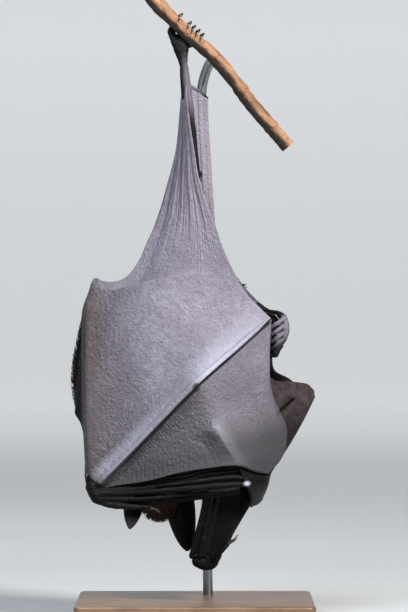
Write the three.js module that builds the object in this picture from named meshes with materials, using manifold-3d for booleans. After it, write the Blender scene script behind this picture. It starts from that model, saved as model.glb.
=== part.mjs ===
// Flying fox (genus Pteropus) roosting by one foot, wings folded across the belly,
// on a cut length of branch carried by a plain display stand.
// Millimetres, +X to the viewer's right, +Y away from the viewer, +Z up.
import * as THREE from 'three';
import { mergeVertices } from 'three/addons/utils/BufferGeometryUtils.js';
import Module from 'manifold-3d';

const wasm = await Module();
wasm.setup();

// ---------------------------------------------------------------- driving sizes
const GAP = 0.35;            // clearance kept between neighbouring pieces
const SKIN = 1.3;            // thickness of the wing membranes
const PERCH_R = 5.6;         // mean radius of the branch
const ROD_R = 4.0;           // stand rod radius
const BASE = { w: 190, d: 170, h: 14, r: 16, cx: 4, cy: 18 };
const TOE_R = 1.7;           // toe radius
const CLAW_R = 1.15;         // claw radius at its root
const FOREARM_R = 4.4;
const METACARPAL_R = 2.4;

// ---------------------------------------------------------------- landmarks
const ANKLE_L = [-2.4, 0, 440];
const KNEE_L = [4.5, -1, 362];
const HIP_L = [6, 14, 300];
const HIP_R = [19, 16, 286];
const KNEE_R = [41, 50, 262];
const ANKLE_R = [64, 4, 240];
const ELBOW_L = [-76, 0, 265.6];
const WRIST_L = [-74.3, -32, 104];
const SHOULDER_L = [-66, 20, 158];
const SHOULDER_R = [2, 22, 134];
const ELBOW_R = [94.8, 16, 179.6];
const WRIST_R = [13.6, -12, 46.4];
const MCP5_L = [3.3, -49, 187.4];
const IP5_L = [38.8, -39, 218];
const TIP5_L = [64.1, -19, 239.3];

const perchPath = [[-38.4, 3, 507.5], [-28.8, 2, 494.6], [-14.4, 0, 479.2], [-0, 0, 465.6], [19.2, 0, 448.8], [36, 1, 428.9], [50.4, 2, 409.7], [65.7, 3, 392.1], [78.5, 4, 377]];
const perchRadii = [5.8, 6.1, 5.5, 5.6, 5.9, 5.4, 5.9, 5.5, 5.9];

// fold of the left wing from ankle to elbow, then down the forearm
const foldLeft = [[-6.4, 2, 426.5], [-8, 3, 406.6], [-11.2, 3, 374.5], [-16.8, 4, 350.5], [-24.8, 4, 322.5], [-33.7, 4, 302.5], [-41.7, 4, 284.8], [-49.7, 3, 273.6], [-57.6, 2, 268.8], [-65.6, 1, 268], [-71.1, -2, 265.6]];
const foldLeftArm = [[-73, -7, 250.4], [-74.9, -12, 222.5], [-75.5, -18, 190.8], [-74.8, -24, 159.1], [-73.6, -29, 131.6], [-72.2, -34.5, 113.2]];
// free rear edge of the left wing, ankle to the tip of the fifth finger
const rearLeft = [[-3.2, -5, 426.1], [-0.8, -7, 402], [3.2, -10, 374], [7.2, -12, 351.6], [13.6, -14, 331.6], [19.2, -16, 316.4], [25.5, -18, 298.1], [33.5, -20, 279.8], [44.6, -21, 259.9], [53.3, -21, 250.4], [62.2, -20, 241.5]];
// rim of the hand membrane of the left wing
const rimLeft = [[-66.3, -36, 106.5], [-55.1, -39, 108.7], [-35.3, -43, 111.6], [-9.3, -46, 118], [15.9, -46, 122], [38, -42, 123.4], [50.7, -34, 118.7], [62, -22, 116.2]];
const foldHandLeft = [[65.3, -18, 236.5], [63.8, -14, 222.5], [63.4, -12, 205], [64.2, -11, 187.4], [67.8, -10, 173.9], [72.6, -9, 163.5], [77, -8, 153.1], [76.6, -10, 139.6], [72.5, -15, 127.8], [62.8, -22, 116.6]];

// right wing
const foldRight = [[66.5, 4, 217.6], [63.3, 7, 204.7], [61.8, 9, 195], [68.2, 11, 188.6], [78.7, 13, 186.5], [88.4, 14, 179.7]];
const forearmRightEdge = [[88.4, 14, 179.7], [81.9, 12, 167.7], [70.5, 7, 146.2], [53.6, -1, 119.6], [38.3, -6, 95.9], [26.4, -9.5, 76.2], [18.4, -12, 60.8]];
const rearRight = [[16.7, -28, 213.1], [27.1, -25, 225.8], [39.8, -20, 234.5], [52.6, -12, 237.6], [60.7, -5, 233.6], [66.5, 4, 217.6]];
const fifthRight = [[18.4, -12, 60.8], [25.5, -22, 95.5], [33.4, -28, 139.4], [28.6, -29, 176.7], [16.7, -28, 213.1]];

// ---------------------------------------------------------------- geometry tools
const V = (a) => new THREE.Vector3(a[0], a[1], a[2]);
const curve = (pts) => new THREE.CatmullRomCurve3(pts.map(V), false, 'centripetal');

function solid(positions, index) {
  const g = new THREE.BufferGeometry();
  g.setAttribute('position', new THREE.Float32BufferAttribute(positions, 3));
  g.setIndex(index);
  const m = mergeVertices(g, 1e-4);
  const mesh = new wasm.Mesh({
    numProp: 3,
    vertProperties: new Float32Array(m.attributes.position.array),
    triVerts: new Uint32Array(m.index.array),
  });
  mesh.merge();
  return new wasm.Manifold(mesh);
}

function lookUp(list, t) {
  if (typeof list === 'number') return list;
  const f = t * (list.length - 1);
  const i = Math.min(list.length - 2, Math.floor(f));
  return list[i] + (list[i + 1] - list[i]) * (f - i);
}

// A limb: elliptical sections swept along a path. `wide` and `deep` are half sizes,
// `wide` lying along the direction `side` as nearly as it can. Ends are rounded,
// or cut flat when `flat` is set. `grow` swells the whole piece evenly.
function limb(path, wide, deep, opt, grow) {
  const o = Object.assign({ n: 8, sides: 8, side: [1, 0, 0], flat: false, flatStart: false }, opt);
  const c = curve(path);
  const L = c.getLength();
  const rings = [];
  const hint = V(o.side).normalize();
  const cap = o.flat ? 0 : 1;
  const stations = [];
  for (let i = 0; i <= o.n; i++) stations.push([i / o.n, 1, 0]);
  if (cap) {
    const caps = [[0.62, 0.72]];
    for (const [h, s] of caps) {
      if (!o.flatStart) stations.unshift([0, s, -h]);
      stations.push([1, s, h]);
    }
  }
  for (const [t, s, h] of stations) {
    const p = c.getPointAt(t);
    const tan = c.getTangentAt(t).normalize();
    const a = hint.clone().addScaledVector(tan, -hint.dot(tan)).normalize();
    const b = new THREE.Vector3().crossVectors(tan, a).normalize();
    const rw = lookUp(wide, t) + grow;
    const rd = lookUp(deep, t) + grow;
    p.addScaledVector(tan, h * Math.min(rw, rd));
    if (grow && o.flat && (t === 0 || t === 1)) p.addScaledVector(tan, t ? grow : -grow);
    const ring = [];
    for (let k = 0; k < o.sides; k++) {
      const w = (2 * Math.PI * (k + 0.5)) / o.sides;
      ring.push(p.clone().addScaledVector(a, Math.cos(w) * rw * s).addScaledVector(b, Math.sin(w) * rd * s));
    }
    rings.push({ ring, p, tan, r: Math.min(rw, rd) });
  }
  const pos = [];
  const idx = [];
  for (const r of rings) for (const q of r.ring) pos.push(q.x, q.y, q.z);
  const S = o.sides;
  for (let i = 0; i < rings.length - 1; i++) {
    for (let k = 0; k < S; k++) {
      const a0 = i * S + k;
      const a1 = i * S + ((k + 1) % S);
      idx.push(a0, a1, a1 + S, a0, a1 + S, a0 + S);
    }
  }
  const first = rings[0];
  const last = rings[rings.length - 1];
  const c0 = first.p.clone();
  const c1 = last.p.clone();
  if (!o.flat && !o.flatStart) c0.addScaledVector(first.tan, -0.3 * first.r);
  if (!o.flat) c1.addScaledVector(last.tan, 0.3 * last.r);
  const i0 = pos.length / 3;
  pos.push(c0.x, c0.y, c0.z, c1.x, c1.y, c1.z);
  const base = (rings.length - 1) * S;
  for (let k = 0; k < S; k++) {
    idx.push(i0, (k + 1) % S, k);
    idx.push(i0 + 1, base + k, base + ((k + 1) % S));
  }
  return facing(solid(pos, idx), pos, idx);
}

// Turns a body right side out when its loops ran the other way round.
function facing(m, pos, idx) {
  if (m.volume() > 0) return m;
  const flip = [];
  for (let i = 0; i < idx.length; i += 3) flip.push(idx[i], idx[i + 2], idx[i + 1]);
  return solid(pos, flip);
}

// A membrane: a sheet f(u, v) given thickness on both sides of its middle surface.
function sheet(f, nu, nv, thick, grow, rows) {
  const P = [];
  const h = 1e-3;
  const half = thick / 2 + grow;
  const idx = [];
  const pos = [];
  for (let j = 0; j <= nv; j++) {
    for (let i = 0; i <= nu; i++) {
      const u = i / nu;
      const v = rows ? rows[j] : j / nv;
      const p = f(u, v);
      const du = f(Math.min(1, u + h), v).sub(f(Math.max(0, u - h), v)).normalize();
      const dv = f(u, Math.min(1, v + h)).sub(f(u, Math.max(0, v - h))).normalize();
      const n = new THREE.Vector3().crossVectors(du, dv).normalize();
      if (grow) {
        if (i === 0) p.addScaledVector(du, -grow);
        if (i === nu) p.addScaledVector(du, grow);
        if (j === 0) p.addScaledVector(dv, -grow);
        if (j === nv) p.addScaledVector(dv, grow);
      }
      P.push([p, n]);
    }
  }
  const W = nu + 1;
  const N = P.length;
  for (const s of [1, -1]) for (const [p, n] of P) {
    pos.push(p.x + s * n.x * half, p.y + s * n.y * half, p.z + s * n.z * half);
  }
  const quad = (a, b, c, d) => idx.push(a, b, c, a, c, d);
  for (let j = 0; j < nv; j++) for (let i = 0; i < nu; i++) {
    const a = j * W + i;
    quad(a, a + 1, a + W + 1, a + W);
    quad(N + a, N + a + W, N + a + W + 1, N + a + 1);
  }
  for (let i = 0; i < nu; i++) {
    quad(i + 1, i, N + i, N + i + 1);
    const b = nv * W + i;
    quad(b, b + 1, N + b + 1, N + b);
  }
  for (let j = 0; j < nv; j++) {
    const a = j * W;
    quad(a, a + W, N + a + W, N + a);
    const b = j * W + nu;
    quad(b + W, b, N + b, N + b + W);
  }
  return facing(solid(pos, idx), pos, idx);
}

// Surface filled in between four edges; `swell` pushes its middle along y, and
// `haste` makes the right edge run ahead of the left one, which levels the rows.
function patch(top, bottom, left, right, swell, haste = 0) {
  const T = curve(top);
  const B = curve(bottom);
  const L = curve(left);
  const R = curve(right);
  const c00 = T.getPointAt(0);
  const c10 = T.getPointAt(1);
  const c01 = B.getPointAt(0);
  const c11 = B.getPointAt(1);
  return (u, v) => {
    const p = T.getPointAt(u).multiplyScalar(1 - v).addScaledVector(B.getPointAt(u), v);
    const w = v + haste * v * (1 - v);
    p.addScaledVector(L.getPointAt(v), 1 - u).addScaledVector(R.getPointAt(w), u);
    p.addScaledVector(c00, -(1 - u) * (1 - v)).addScaledVector(c10, -u * (1 - v));
    p.addScaledVector(c01, -(1 - u) * v).addScaledVector(c11, -u * v);
    p.y += swell * Math.sin(Math.PI * u) * Math.sin(Math.PI * v);
    return p;
  };
}

function ball(c, r, grow, sx = 1, sy = 1, sz = 1) {
  const g = new THREE.SphereGeometry(1, 8, 5);
  g.deleteAttribute('normal');
  g.deleteAttribute('uv');
  g.scale(r * sx + grow, r * sy + grow, r * sz + grow);
  g.translate(c[0], c[1], c[2]);
  const m = mergeVertices(g, 1e-4);
  return solid(Array.from(m.attributes.position.array), Array.from(m.index.array));
}

// rows packed closer round the bend at the elbow
const FOLD_ROWS = [0, 0.1, 0.2, 0.3, 0.38, 0.434, 0.474, 0.502, 0.545, 0.62, 0.74, 0.87, 1];

const join = (...list) => list.reduce((a, b) => a.add(b));

// ---------------------------------------------------------------- the gripping foot
const gripAxis = new THREE.Vector3(0.735, 0, -0.678);
const gripUp = new THREE.Vector3(0.678, 0, 0.735);
const gripAt = new THREE.Vector3(-6.2, 0, 471.4);
// point round the branch: `s` along it, `deg` 0 under, 90 behind, 180 above, 270 in front
function roundPerch(s, deg, r) {
  const w = (deg * Math.PI) / 180;
  const p = gripAt.clone().addScaledVector(gripAxis, s);
  p.addScaledVector(gripUp, -Math.cos(w) * r);
  p.y += Math.sin(w) * r;
  return [p.x, p.y, p.z];
}
const TOE_SPREAD = [-8.4, 1.2, 5.8, 10.4, 15.0];
const gripR = PERCH_R + TOE_R + 0.9;
const toeGrip = (s) => [[-6.4 + s * 0.2, 1.5, 449 - s * 0.24], roundPerch(s * 0.7, 22, gripR + 1.2), roundPerch(s * 0.95, 78, gripR + 0.1), roundPerch(s, 156, gripR + 0.1)];
const clawGrip = (s) => [roundPerch(s, 166, gripR - 0.1), roundPerch(s + 0.6, 196, gripR + 0.3), roundPerch(s + 1.4, 226, gripR - 0.2), roundPerch(s + 2.4, 252, gripR - 0.7)];

// ---------------------------------------------------------------- the free foot
const FREE_TOE_Z = [238.4, 232.6, 226.8, 221.0, 215.4];
const toeFree = (z, i) => [[72.5 - i * 0.6, 2.5, z + 1.6], [76 - i * 0.7, -3, z + 1.8], [73 - i * 0.5, -8.5, z - 1.6], [66 + i * 0.1, -9, z - 5.6]];
const clawFree = (z, i) => [[63.6 + i * 0.1, -8.2, z - 7.0], [61.5 + i * 0.1, -5.6, z - 8.2], [61.6 + i * 0.1, -2.6, z - 8.4]];

// ---------------------------------------------------------------- head frame
const headPath = [[-25, 27, 100], [-24.5, 18, 96], [-24, 6, 94], [-24.5, -8, 99], [-25, -19, 105], [-25.4, -27, 110]];
const headWide = [9, 16.5, 18, 14, 9.5, 6.5];
const headDeep = [9, 16, 19, 14.5, 9.5, 6];

const earSheet = (root, tip, width, lean) => (u, v) => {
  const p = V(root).lerp(V(tip), v);
  const w = width * (0.62 + 0.55 * v) * Math.pow(Math.max(0.02, 1 - v), 0.55);
  const a = (u - 0.5) * 2;
  p.x += a * w * lean[0];
  p.y += a * w * lean[1] + (a * a) * w * 0.45;
  p.z += a * w * lean[2];
  return p;
};

const propLeft = patch(
  [[-81.5, -2, 254.4], [-84.8, 0, 230.4], [-88.1, 4, 202.3], [-89.2, 12, 170.9]],
  [[-83.8, -31, 113.4], [-83.9, -29, 119.7]],
  [[-81.5, -2, 254.4], [-82.2, -8, 218.5], [-83.5, -16, 182.8], [-84, -24, 143.3], [-83.8, -31, 113.4]],
  [[-89.2, 12, 170.9], [-91.5, 8, 164.6], [-87.2, 0, 155.2], [-83.2, -14, 138.1], [-83.9, -29, 119.7]],
  0);

// ---------------------------------------------------------------- every piece, first come first kept
// Each entry: name, colour, roughness, metalness, builder(grow).
const MEMBRANE = 0x6b6468;
const FUR = 0x3a2a22;
const DARK = 0x2b2728;
const pieces = [
  ['stand_base', 0x5a4636, 0.6, 0, (g) => {
    const s = new THREE.Shape();
    const w = BASE.w / 2 + g;
    const d = BASE.d / 2 + g;
    const r = BASE.r;
    s.moveTo(-w + r, -d);
    s.lineTo(w - r, -d);
    s.absarc(w - r, -d + r, r, -Math.PI / 2, 0, false);
    s.lineTo(w, d - r);
    s.absarc(w - r, d - r, r, 0, Math.PI / 2, false);
    s.lineTo(-w + r, d);
    s.absarc(-w + r, d - r, r, Math.PI / 2, Math.PI, false);
    s.lineTo(-w, -d + r);
    s.absarc(-w + r, -d + r, r, Math.PI, 1.5 * Math.PI, false);
    const e = new THREE.ExtrudeGeometry(s, { depth: BASE.h + 2 * g, bevelEnabled: false, curveSegments: 3 });
    e.translate(BASE.cx, BASE.cy, -g);
    e.deleteAttribute('normal');
    e.deleteAttribute('uv');
    const m = mergeVertices(e, 1e-4);
    return solid(Array.from(m.attributes.position.array), Array.from(m.index.array));
  }],
  ['perch', 0x8a6242, 0.8, 0, (g) => limb(perchPath, perchRadii, perchRadii, { n: 8, sides: 8, flat: true }, g)],
  ['stand_rod', 0x9a9a98, 0.35, 0.9, (g) => limb([[14.5, 62, BASE.h + 0.3], [12.5, 62, 140], [9.5, 62, 300], [8, 62, 400], [10, 57, 430], [15, 40, 445], [19, 22, 448.6], [21, 3, 448.8]], ROD_R, ROD_R, { n: 7, sides: 8, flat: true }, g)],
  ...TOE_SPREAD.map((s, i) => ['claw_foot_left_' + (i + 1), 0x1d1918, 0.3, 0, (g) => limb(clawGrip(s), [1.2, 1.1, 0.8, 0.45], [1.3, 1.2, 0.9, 0.45], { n: 3, sides: 5, side: [0.735, 0, -0.678] }, g)]),
  ['foot_left', 0x3a3436, 0.6, 0, (g) => join(
    limb([[-5.0, 0, 444.0], [-6.2, 1.0, 450], [-7.2, 1.8, 458]], [3.6, 4.8, 5.4], [3.2, 3.4, 2.4], { n: 2, sides: 6 }, g),
    ...TOE_SPREAD.map((s) => limb(toeGrip(s), [2.0, 1.9, 1.8, 1.6], [2.0, 1.9, 1.8, 1.5], { n: 3, sides: 5, side: [0.735, 0, -0.678] }, g)))],
  ['shank_left', 0x6a6063, 0.6, 0, (g) => limb([[4.2, -1, 357], [1.0, 0, 396], [-3.8, 0, 432], [-4.6, 0, 440.4]], [4.4, 3.6, 3.2, 4.6], [4.4, 3.6, 3.2, 4.2], { n: 4, sides: 7 }, g)],
  ['thigh_left', FUR, 0.9, 0, (g) => limb([[6, 13, 304], [6.5, 5, 330], [4.6, -0.6, 351]], [9, 7, 4.6], [8, 6.5, 4.6], { n: 3, sides: 7 }, g)],
  ...FREE_TOE_Z.map((z, i) => ['claw_foot_right_' + (i + 1), 0x1d1918, 0.3, 0, (g) => limb(clawFree(z, i), [1.1, 0.9, 0.5], [1.2, 1.0, 0.5], { n: 2, sides: 5, side: [0, 0, 1] }, g)]),
  ['foot_right', 0x57505a, 0.6, 0, (g) => join(
    limb([[66.5, 6, 238.5], [70, 4, 230], [69.6, 3, 220], [68, 2, 211]], [4, 5, 4.6, 3.4], [3.6, 4.2, 4, 3], { n: 3, sides: 6, side: [1, 0, 0] }, g),
    ...FREE_TOE_Z.map((z, i) => limb(toeFree(z, i), [2.7, 2.9, 2.7, 2.0], [2.5, 2.6, 2.5, 1.9], { n: 3, sides: 5, side: [0, 0, 1] }, g)))],
  ['shank_right', 0x57505a, 0.6, 0, (g) => limb([[43.5, 44.5, 259.3], [54, 24, 249.5], [63.2, 9.2, 242.2]], [4.4, 3.6, 3.6], [4.4, 3.6, 3.6], { n: 3, sides: 7, side: [0, 0, 1] }, g)],
  ['thigh_right', FUR, 0.9, 0, (g) => limb([[21, 20, 284], [31, 36, 272], [39, 48, 263.5]], [8, 6.5, 5], [8, 6.5, 5], { n: 3, sides: 7, side: [0, 0, 1] }, g)],

  ['claw_thumb_left', 0x1d1918, 0.3, 0, (g) => limb([[-31.5, -37, 90.4], [-26.8, -35, 89.1], [-23.6, -33, 85.8]], [1.4, 1.0, 0.5], [1.5, 1.1, 0.5], { n: 3, sides: 5, side: [0, 1, 0] }, g)],
  ['thumb_left', 0x4a4446, 0.6, 0, (g) => limb([[-73.5, -33, 94.9], [-61.5, -37, 92.4], [-47.2, -39, 91.3], [-33.8, -38, 90.8]], [2.9, 2.8, 2.5, 1.9], [3.1, 2.9, 2.5, 1.9], { n: 4, sides: 6, side: [0, 1, 0] }, g)],
  ['wrist_left', 0x4a4446, 0.6, 0, (g) => limb([[-76.7, -31, 113.4], [-75.8, -33, 104.8], [-74.2, -34, 98.5]], [5.2, 6.4, 5.0], [4.6, 5.4, 4.6], { n: 3, sides: 8 }, g)],
  ['forearm_left', 0x5d5659, 0.6, 0, (g) => limb([ELBOW_L, [-79, -7, 250.4], [-80.4, -13, 218.5], [-80.2, -20, 182.8], [-79.2, -26, 147.3], [-77.5, -30, 119.7]], [5.4, 5.2, 4.6, 4.2, 4.0, 4.2], [5.0, 5.0, 4.6, 4.2, 4.0, 4.2], { n: 6, sides: 7 }, g)],
  ['upper_arm_left', FUR, 0.9, 0, (g) => limb([SHOULDER_L, [-80, 19, 166], [-87, 17, 185.2], [-86, 13, 214.2], [-81.1, 9, 242.4], [-77, 7, 256.8]], [10, 9.5, 8.4, 7, 5.4, 4.8], [11, 10, 8.6, 7.4, 5.6, 4.6], { n: 6, sides: 8 }, g)],
  ['finger5_left_metacarpal', 0x4d474b, 0.6, 0, (g) => limb([[-70.2, -37, 110.5], [-47.2, -42, 133.6], [-19.5, -47, 163.8], [1.4, -49.4, 185.9]], [2.6, 2.4, 2.3, 3.0], [2.6, 2.4, 2.3, 3.0], { n: 4, sides: 6 }, g)],
  ['finger5_left_phalanges', 0x4d474b, 0.6, 0, (g) => limb([[5.3, -49.2, 189.4], [22.2, -44.5, 203.9], IP5_L, [52.4, -29, 230.2], TIP5_L], [2.8, 2.0, 2.1, 1.6, 1.1], [2.8, 2.0, 2.1, 1.6, 1.1], { n: 5, sides: 6 }, g)],
  ['finger4_left', 0x4d474b, 0.6, 0, (g) => limb([[-67.8, -36, 104.2], [-31.4, -39.5, 107.1], [6.5, -41.5, 111.1], [38, -39.5, 114.2]], [2.4, 2.1, 2.1, 2.8], [2.6, 2.2, 2.2, 3.0], { n: 4, sides: 6 }, g)],
  ['finger3_left', 0x4d474b, 0.6, 0, (g) => limb([[-67, -38, 101.5], [-31.4, -43, 103.3], [6.5, -47, 106.7], [43.5, -44.5, 109.3], [49.1, -36, 104.2], [50.2, -15, 95.2], [49, 15, 89.6], [45.2, 40, 100.4], [37.3, 58, 128.1]], [2.6, 2.3, 2.2, 3.3, 2.3, 1.9, 1.7, 1.5, 1.1], [2.6, 2.3, 2.2, 3.3, 2.3, 1.9, 1.7, 1.5, 1.1], { n: 14, sides: 5, side: [0, 0, 1] }, g)],
  ['finger2_left', 0x4d474b, 0.6, 0, (g) => limb([[-67.8, -38, 96.4], [-39.3, -41.5, 97.3], [-6.1, -43.5, 100.6], [12.8, -43, 102.5]], [2.1, 1.8, 1.7, 1.2], [2.1, 1.8, 1.7, 1.2], { n: 4, sides: 6, side: [0, 0, 1] }, g)],

  ['claw_thumb_right', 0x1d1918, 0.3, 0, (g) => limb([[31, -24, 61.5], [35, -25, 64], [38.2, -24, 68.3]], [1.4, 1.1, 0.5], [1.4, 1.1, 0.5], { n: 3, sides: 5 }, g)],
  ['thumb_right', DARK, 0.6, 0, (g) => limb([[17.6, -16, 47.5], [23.1, -21, 53.4], [29.1, -24, 59.5]], [3.0, 2.6, 2.0], [3.0, 2.6, 2.0], { n: 3, sides: 6 }, g)],
  ['wrist_right', DARK, 0.6, 0, (g) => limb([[18.4, -11, 51.9], [13.6, -12, 45.6], [7.2, -12, 46.4]], [6.4, 7.0, 5.6], [5.6, 6, 5], { n: 3, sides: 8, side: [0, 0, 1] }, g)],
  ['forearm_right', 0x5a5250, 0.6, 0, (g) => limb([ELBOW_R, [87.9, 13, 165.2], [75.8, 8, 142.9], [58.8, 0, 116.8], [43.5, -5, 93.1], [31.5, -9, 73.3], [23.6, -10.5, 59.9]], [5.2, 5.4, 4.8, 4.6, 4.4, 4.4, 4.6], [5.0, 5.0, 4.6, 4.4, 4.2, 4.2, 4.4], { n: 7, sides: 7 }, g)],
  ['upper_arm_right', FUR, 0.9, 0, (g) => limb([SHOULDER_R, [20, 26, 136], [45.9, 28, 151.9], [68.5, 27, 167.3], [85.4, 23, 177]], [10, 10, 8.5, 7, 5], [11, 10, 8.5, 7, 5], { n: 5, sides: 8, side: [0, 0, 1] }, g)],
  ['finger5_right', 0x4d474b, 0.6, 0, (g) => limb([[12.8, -17, 56.3], [21.5, -24, 95.6], [29.4, -29, 139.5], [23.9, -31, 176.8], [12.8, -30, 212.4]], [2.6, 2.3, 2.8, 2.1, 1.2], [2.6, 2.3, 2.8, 2.1, 1.2], { n: 6, sides: 6 }, g)],
  ['finger4_right', 0x4d474b, 0.6, 0, (g) => limb([[9.2, -20, 57.3], [16.7, -27, 95.8], [23.1, -33, 143.6], [12.8, -35, 179.2], [1.7, -31, 218.7]], [2.4, 2.1, 2.6, 1.9, 1.2], [2.4, 2.1, 2.6, 1.9, 1.2], { n: 6, sides: 6 }, g)],
  ['finger3_right', 0x4d474b, 0.6, 0, (g) => limb([[5.6, -19, 58], [12, -27, 95.8], [15.2, -33, 143.6], [0.1, -34, 181.6], [-11, -28, 226.6]], [2.4, 2.1, 2.6, 1.9, 1.2], [2.4, 2.1, 2.6, 1.9, 1.2], { n: 6, sides: 6 }, g)],

  ['eye_left', 0x20150f, 0.15, 0, (g) => ball([-37.2, -7.6, 98.6], 4.6, g)],
  ['eye_right', 0x20150f, 0.15, 0, (g) => ball([-11.6, -7.6, 98.6], 4.6, g)],
  ['ear_left', DARK, 0.7, 0, (g) => sheet(earSheet([-38, 4, 91], [-48.2, -5, 71.6], 9.5, [0.86, 0, -0.42]), 3, 5, 1.6, g)],
  ['ear_right', DARK, 0.7, 0, (g) => sheet(earSheet([-8, 4, 86], [-0.8, -7, 56], 9.5, [0.9, 0, 0.3]), 3, 5, 1.6, g)],
  ['nose', DARK, 0.4, 0, (g) => limb([[-25.4, -30.5, 111.6], [-25.4, -32.6, 113]], [4.6, 3.6], [3.8, 3.0], { n: 1, sides: 7 }, g)],
  ['head', FUR, 0.9, 0, (g) => limb(headPath, headWide, headDeep, { n: 7, sides: 9 }, g)],
  ['neck', FUR, 0.9, 0, (g) => limb([[-25, 19, 108], [-27, 20, 118], [-29, 20, 128]], [17, 20, 23], [14, 16, 18], { n: 2, sides: 10 }, g)],
  ['trunk', FUR, 0.9, 0, (g) => limb([[-31, 20, 144], [-29, 21, 160], [-18, 22, 186], [-5, 22, 218], [4, 21, 254], [10, 19, 280], [12, 17, 293]], [30, 37, 34, 31, 29, 21, 13], [18, 22, 23, 23, 22, 17, 11], { n: 7, sides: 10 }, g)],

  ['wing_left_hand', MEMBRANE, 0.55, 0, (g) => sheet(patch(
    [[-66.7, -36, 108.5], [-45.1, -41.5, 131.4], [-17.5, -46, 161.5], [3.8, -48, 182.7], [24.3, -43.5, 201.7], [40.7, -38, 215.8], [54, -28, 228], [65.3, -18, 236.5]],
    rimLeft, [[-66.7, -36, 108.5], [-66.3, -36, 106.5]], foldHandLeft, -5), 10, 6, SKIN, g)],
  ['wing_left_finger_web', 0x3a3538, 0.55, 0, (g) => sheet((u, v) => {
    const a = curve([[-65.6, -31, 106.3], [-31.5, -34, 111.2], [6.5, -36, 118.4], [39.7, -34, 120.7]]).getPointAt(u);
    const b = curve([[-66.4, -32, 93.7], [-39.4, -34, 94.6], [-6.2, -36, 97.8], [39.7, -34, 103.3]]).getPointAt(u);
    const p = a.lerp(b, v);
    p.y += 1.2 * Math.cos(v * Math.PI * 3);
    return p;
  }, 5, 6, SKIN, g)],
  ['wing_left_front', MEMBRANE, 0.55, 0, (g) => sheet(patch(
    [[-6.4, 2, 426.5], [-4.8, -2, 426.7], [-3.2, -5, 426.1]],
    [[-72.2, -34.5, 113.2], [-49.2, -41.6, 135.8], [-21.6, -46.8, 166], [0.7, -49, 189.6], [20.3, -44.8, 206.3], [37, -38.8, 220.2], [50.8, -29.3, 232.3], [62.2, -20, 241.5]],
    [...foldLeft, ...foldLeftArm], rearLeft, -10, 0.9), 8, 12, SKIN, g, FOLD_ROWS)],
  ['wing_left_tip', MEMBRANE, 0.55, 0, (g) => sheet(patch(
    [[44.4, -37, 113.7], [57.3, -22, 113], [62.2, -12, 114.1], [60.8, -2, 118.5]],
    [[51, -14, 90.3], [54.3, -8, 91.6], [57.6, -2, 94.5], [57.7, 8, 98.8]],
    [[44.4, -37, 113.7], [49.3, -26, 102.1], [51, -14, 90.3]],
    [[60.8, -2, 118.5], [60.8, 3, 108.7], [57.7, 8, 98.8]], 0), 4, 3, SKIN, g)],
  ['propatagium_left', MEMBRANE, 0.55, 0, (g) => sheet(propLeft, 3, 7, SKIN, g)],
  ['uropatagium_left', 0x8a7c84, 0.55, 0, (g) => sheet(patch(
    [[-0.8, 0, 425.6], [8, -1, 421.1], [14.4, -1, 415.5]],
    [[7.2, 10, 292.9], [16.8, 10, 289.7], [26.4, 9, 284.9]],
    [[-0.8, 0, 425.6], [1.6, 0, 382.4], [4.8, 1, 334.4], [7.2, 10, 292.9]],
    [[14.4, -1, 415.5], [14.8, 0, 398.4], [16.4, 1, 372], [18.8, 3, 333.7], [20.4, 5, 314.5], [26.4, 9, 284.9]], -2), 3, 7, SKIN, g)],
  ['wing_right_front', MEMBRANE, 0.55, 0, (g) => sheet(patch(
    rearRight, forearmRightEdge.slice().reverse(),
    fifthRight.slice().reverse(), foldRight, -2), 7, 9, SKIN, g)],
  ['wing_right_finger_web', 0x3a3538, 0.55, 0, (g) => sheet(patch(
    [[-11.8, -24, 224.2], [0.1, -25, 218.7], [11.2, -26, 211.5]],
    [[5.6, -15, 60.9], [10.4, -14, 58.5], [12.8, -13, 56.8]],
    [[-11.8, -24, 224.2], [0.1, -28, 181.4], [14.4, -27, 143.4], [11.6, -21, 95.5], [5.6, -15, 60.9]],
    [[11.2, -26, 211.5], [22.3, -27, 176.7], [27.9, -24.5, 139.3], [19.1, -20, 95.4], [12.8, -13, 56.8]], 0), 3, 9, SKIN, g)],
  ['wing_left_flank', MEMBRANE, 0.55, 0, (g) => sheet(patch(
    [[-6.4, 6, 424.3], [-4, 7, 424.4], [-2.4, 7.5, 424.4]],
    [[-83.7, 17, 177.2], [-75, 24, 172], [-62, 27, 166]],
    [[-7.2, 5.5, 424.3], [-8, 6.5, 405.1], [-11.2, 6.5, 373.9], [-18.5, 7, 346.6], [-26.5, 7.5, 321], [-40.9, 7.5, 284.9], [-51.3, 6.5, 271.2], [-60.1, 6, 266.4], [-71.4, 8, 262.4], [-75.6, 13, 242.4], [-78.9, 17, 214.2], [-83.7, 17, 177.2]],
    [[-2.4, 7.5, 424.4], [1.6, 6, 382.7], [4.8, 8, 342.6], [5.6, 16, 314.7], [-3, 24, 290], [-17, 27, 254], [-28, 28, 218], [-48, 28, 186], [-62, 27, 166]], 2), 4, 12, SKIN, g, FOLD_ROWS)],
  ['wing_right_flank', MEMBRANE, 0.55, 0, (g) => sheet(patch(
    [[25, 26, 284], [40, 26, 268], [56, 20, 250], [66, 10, 236]],
    [[14, 34, 146], [32, 36, 150], [58.1, 33, 157.4], [88.6, 22, 180.3]],
    [[25, 26, 284], [31, 28, 254], [24, 29, 218], [14, 32, 186], [14, 34, 146]],
    [[66, 10, 236], [67, 10, 222], [66, 12, 210], [68, 14, 198], [80, 18, 190], [88.6, 22, 180.3]], 4), 5, 7, SKIN, g)],
];

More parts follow.
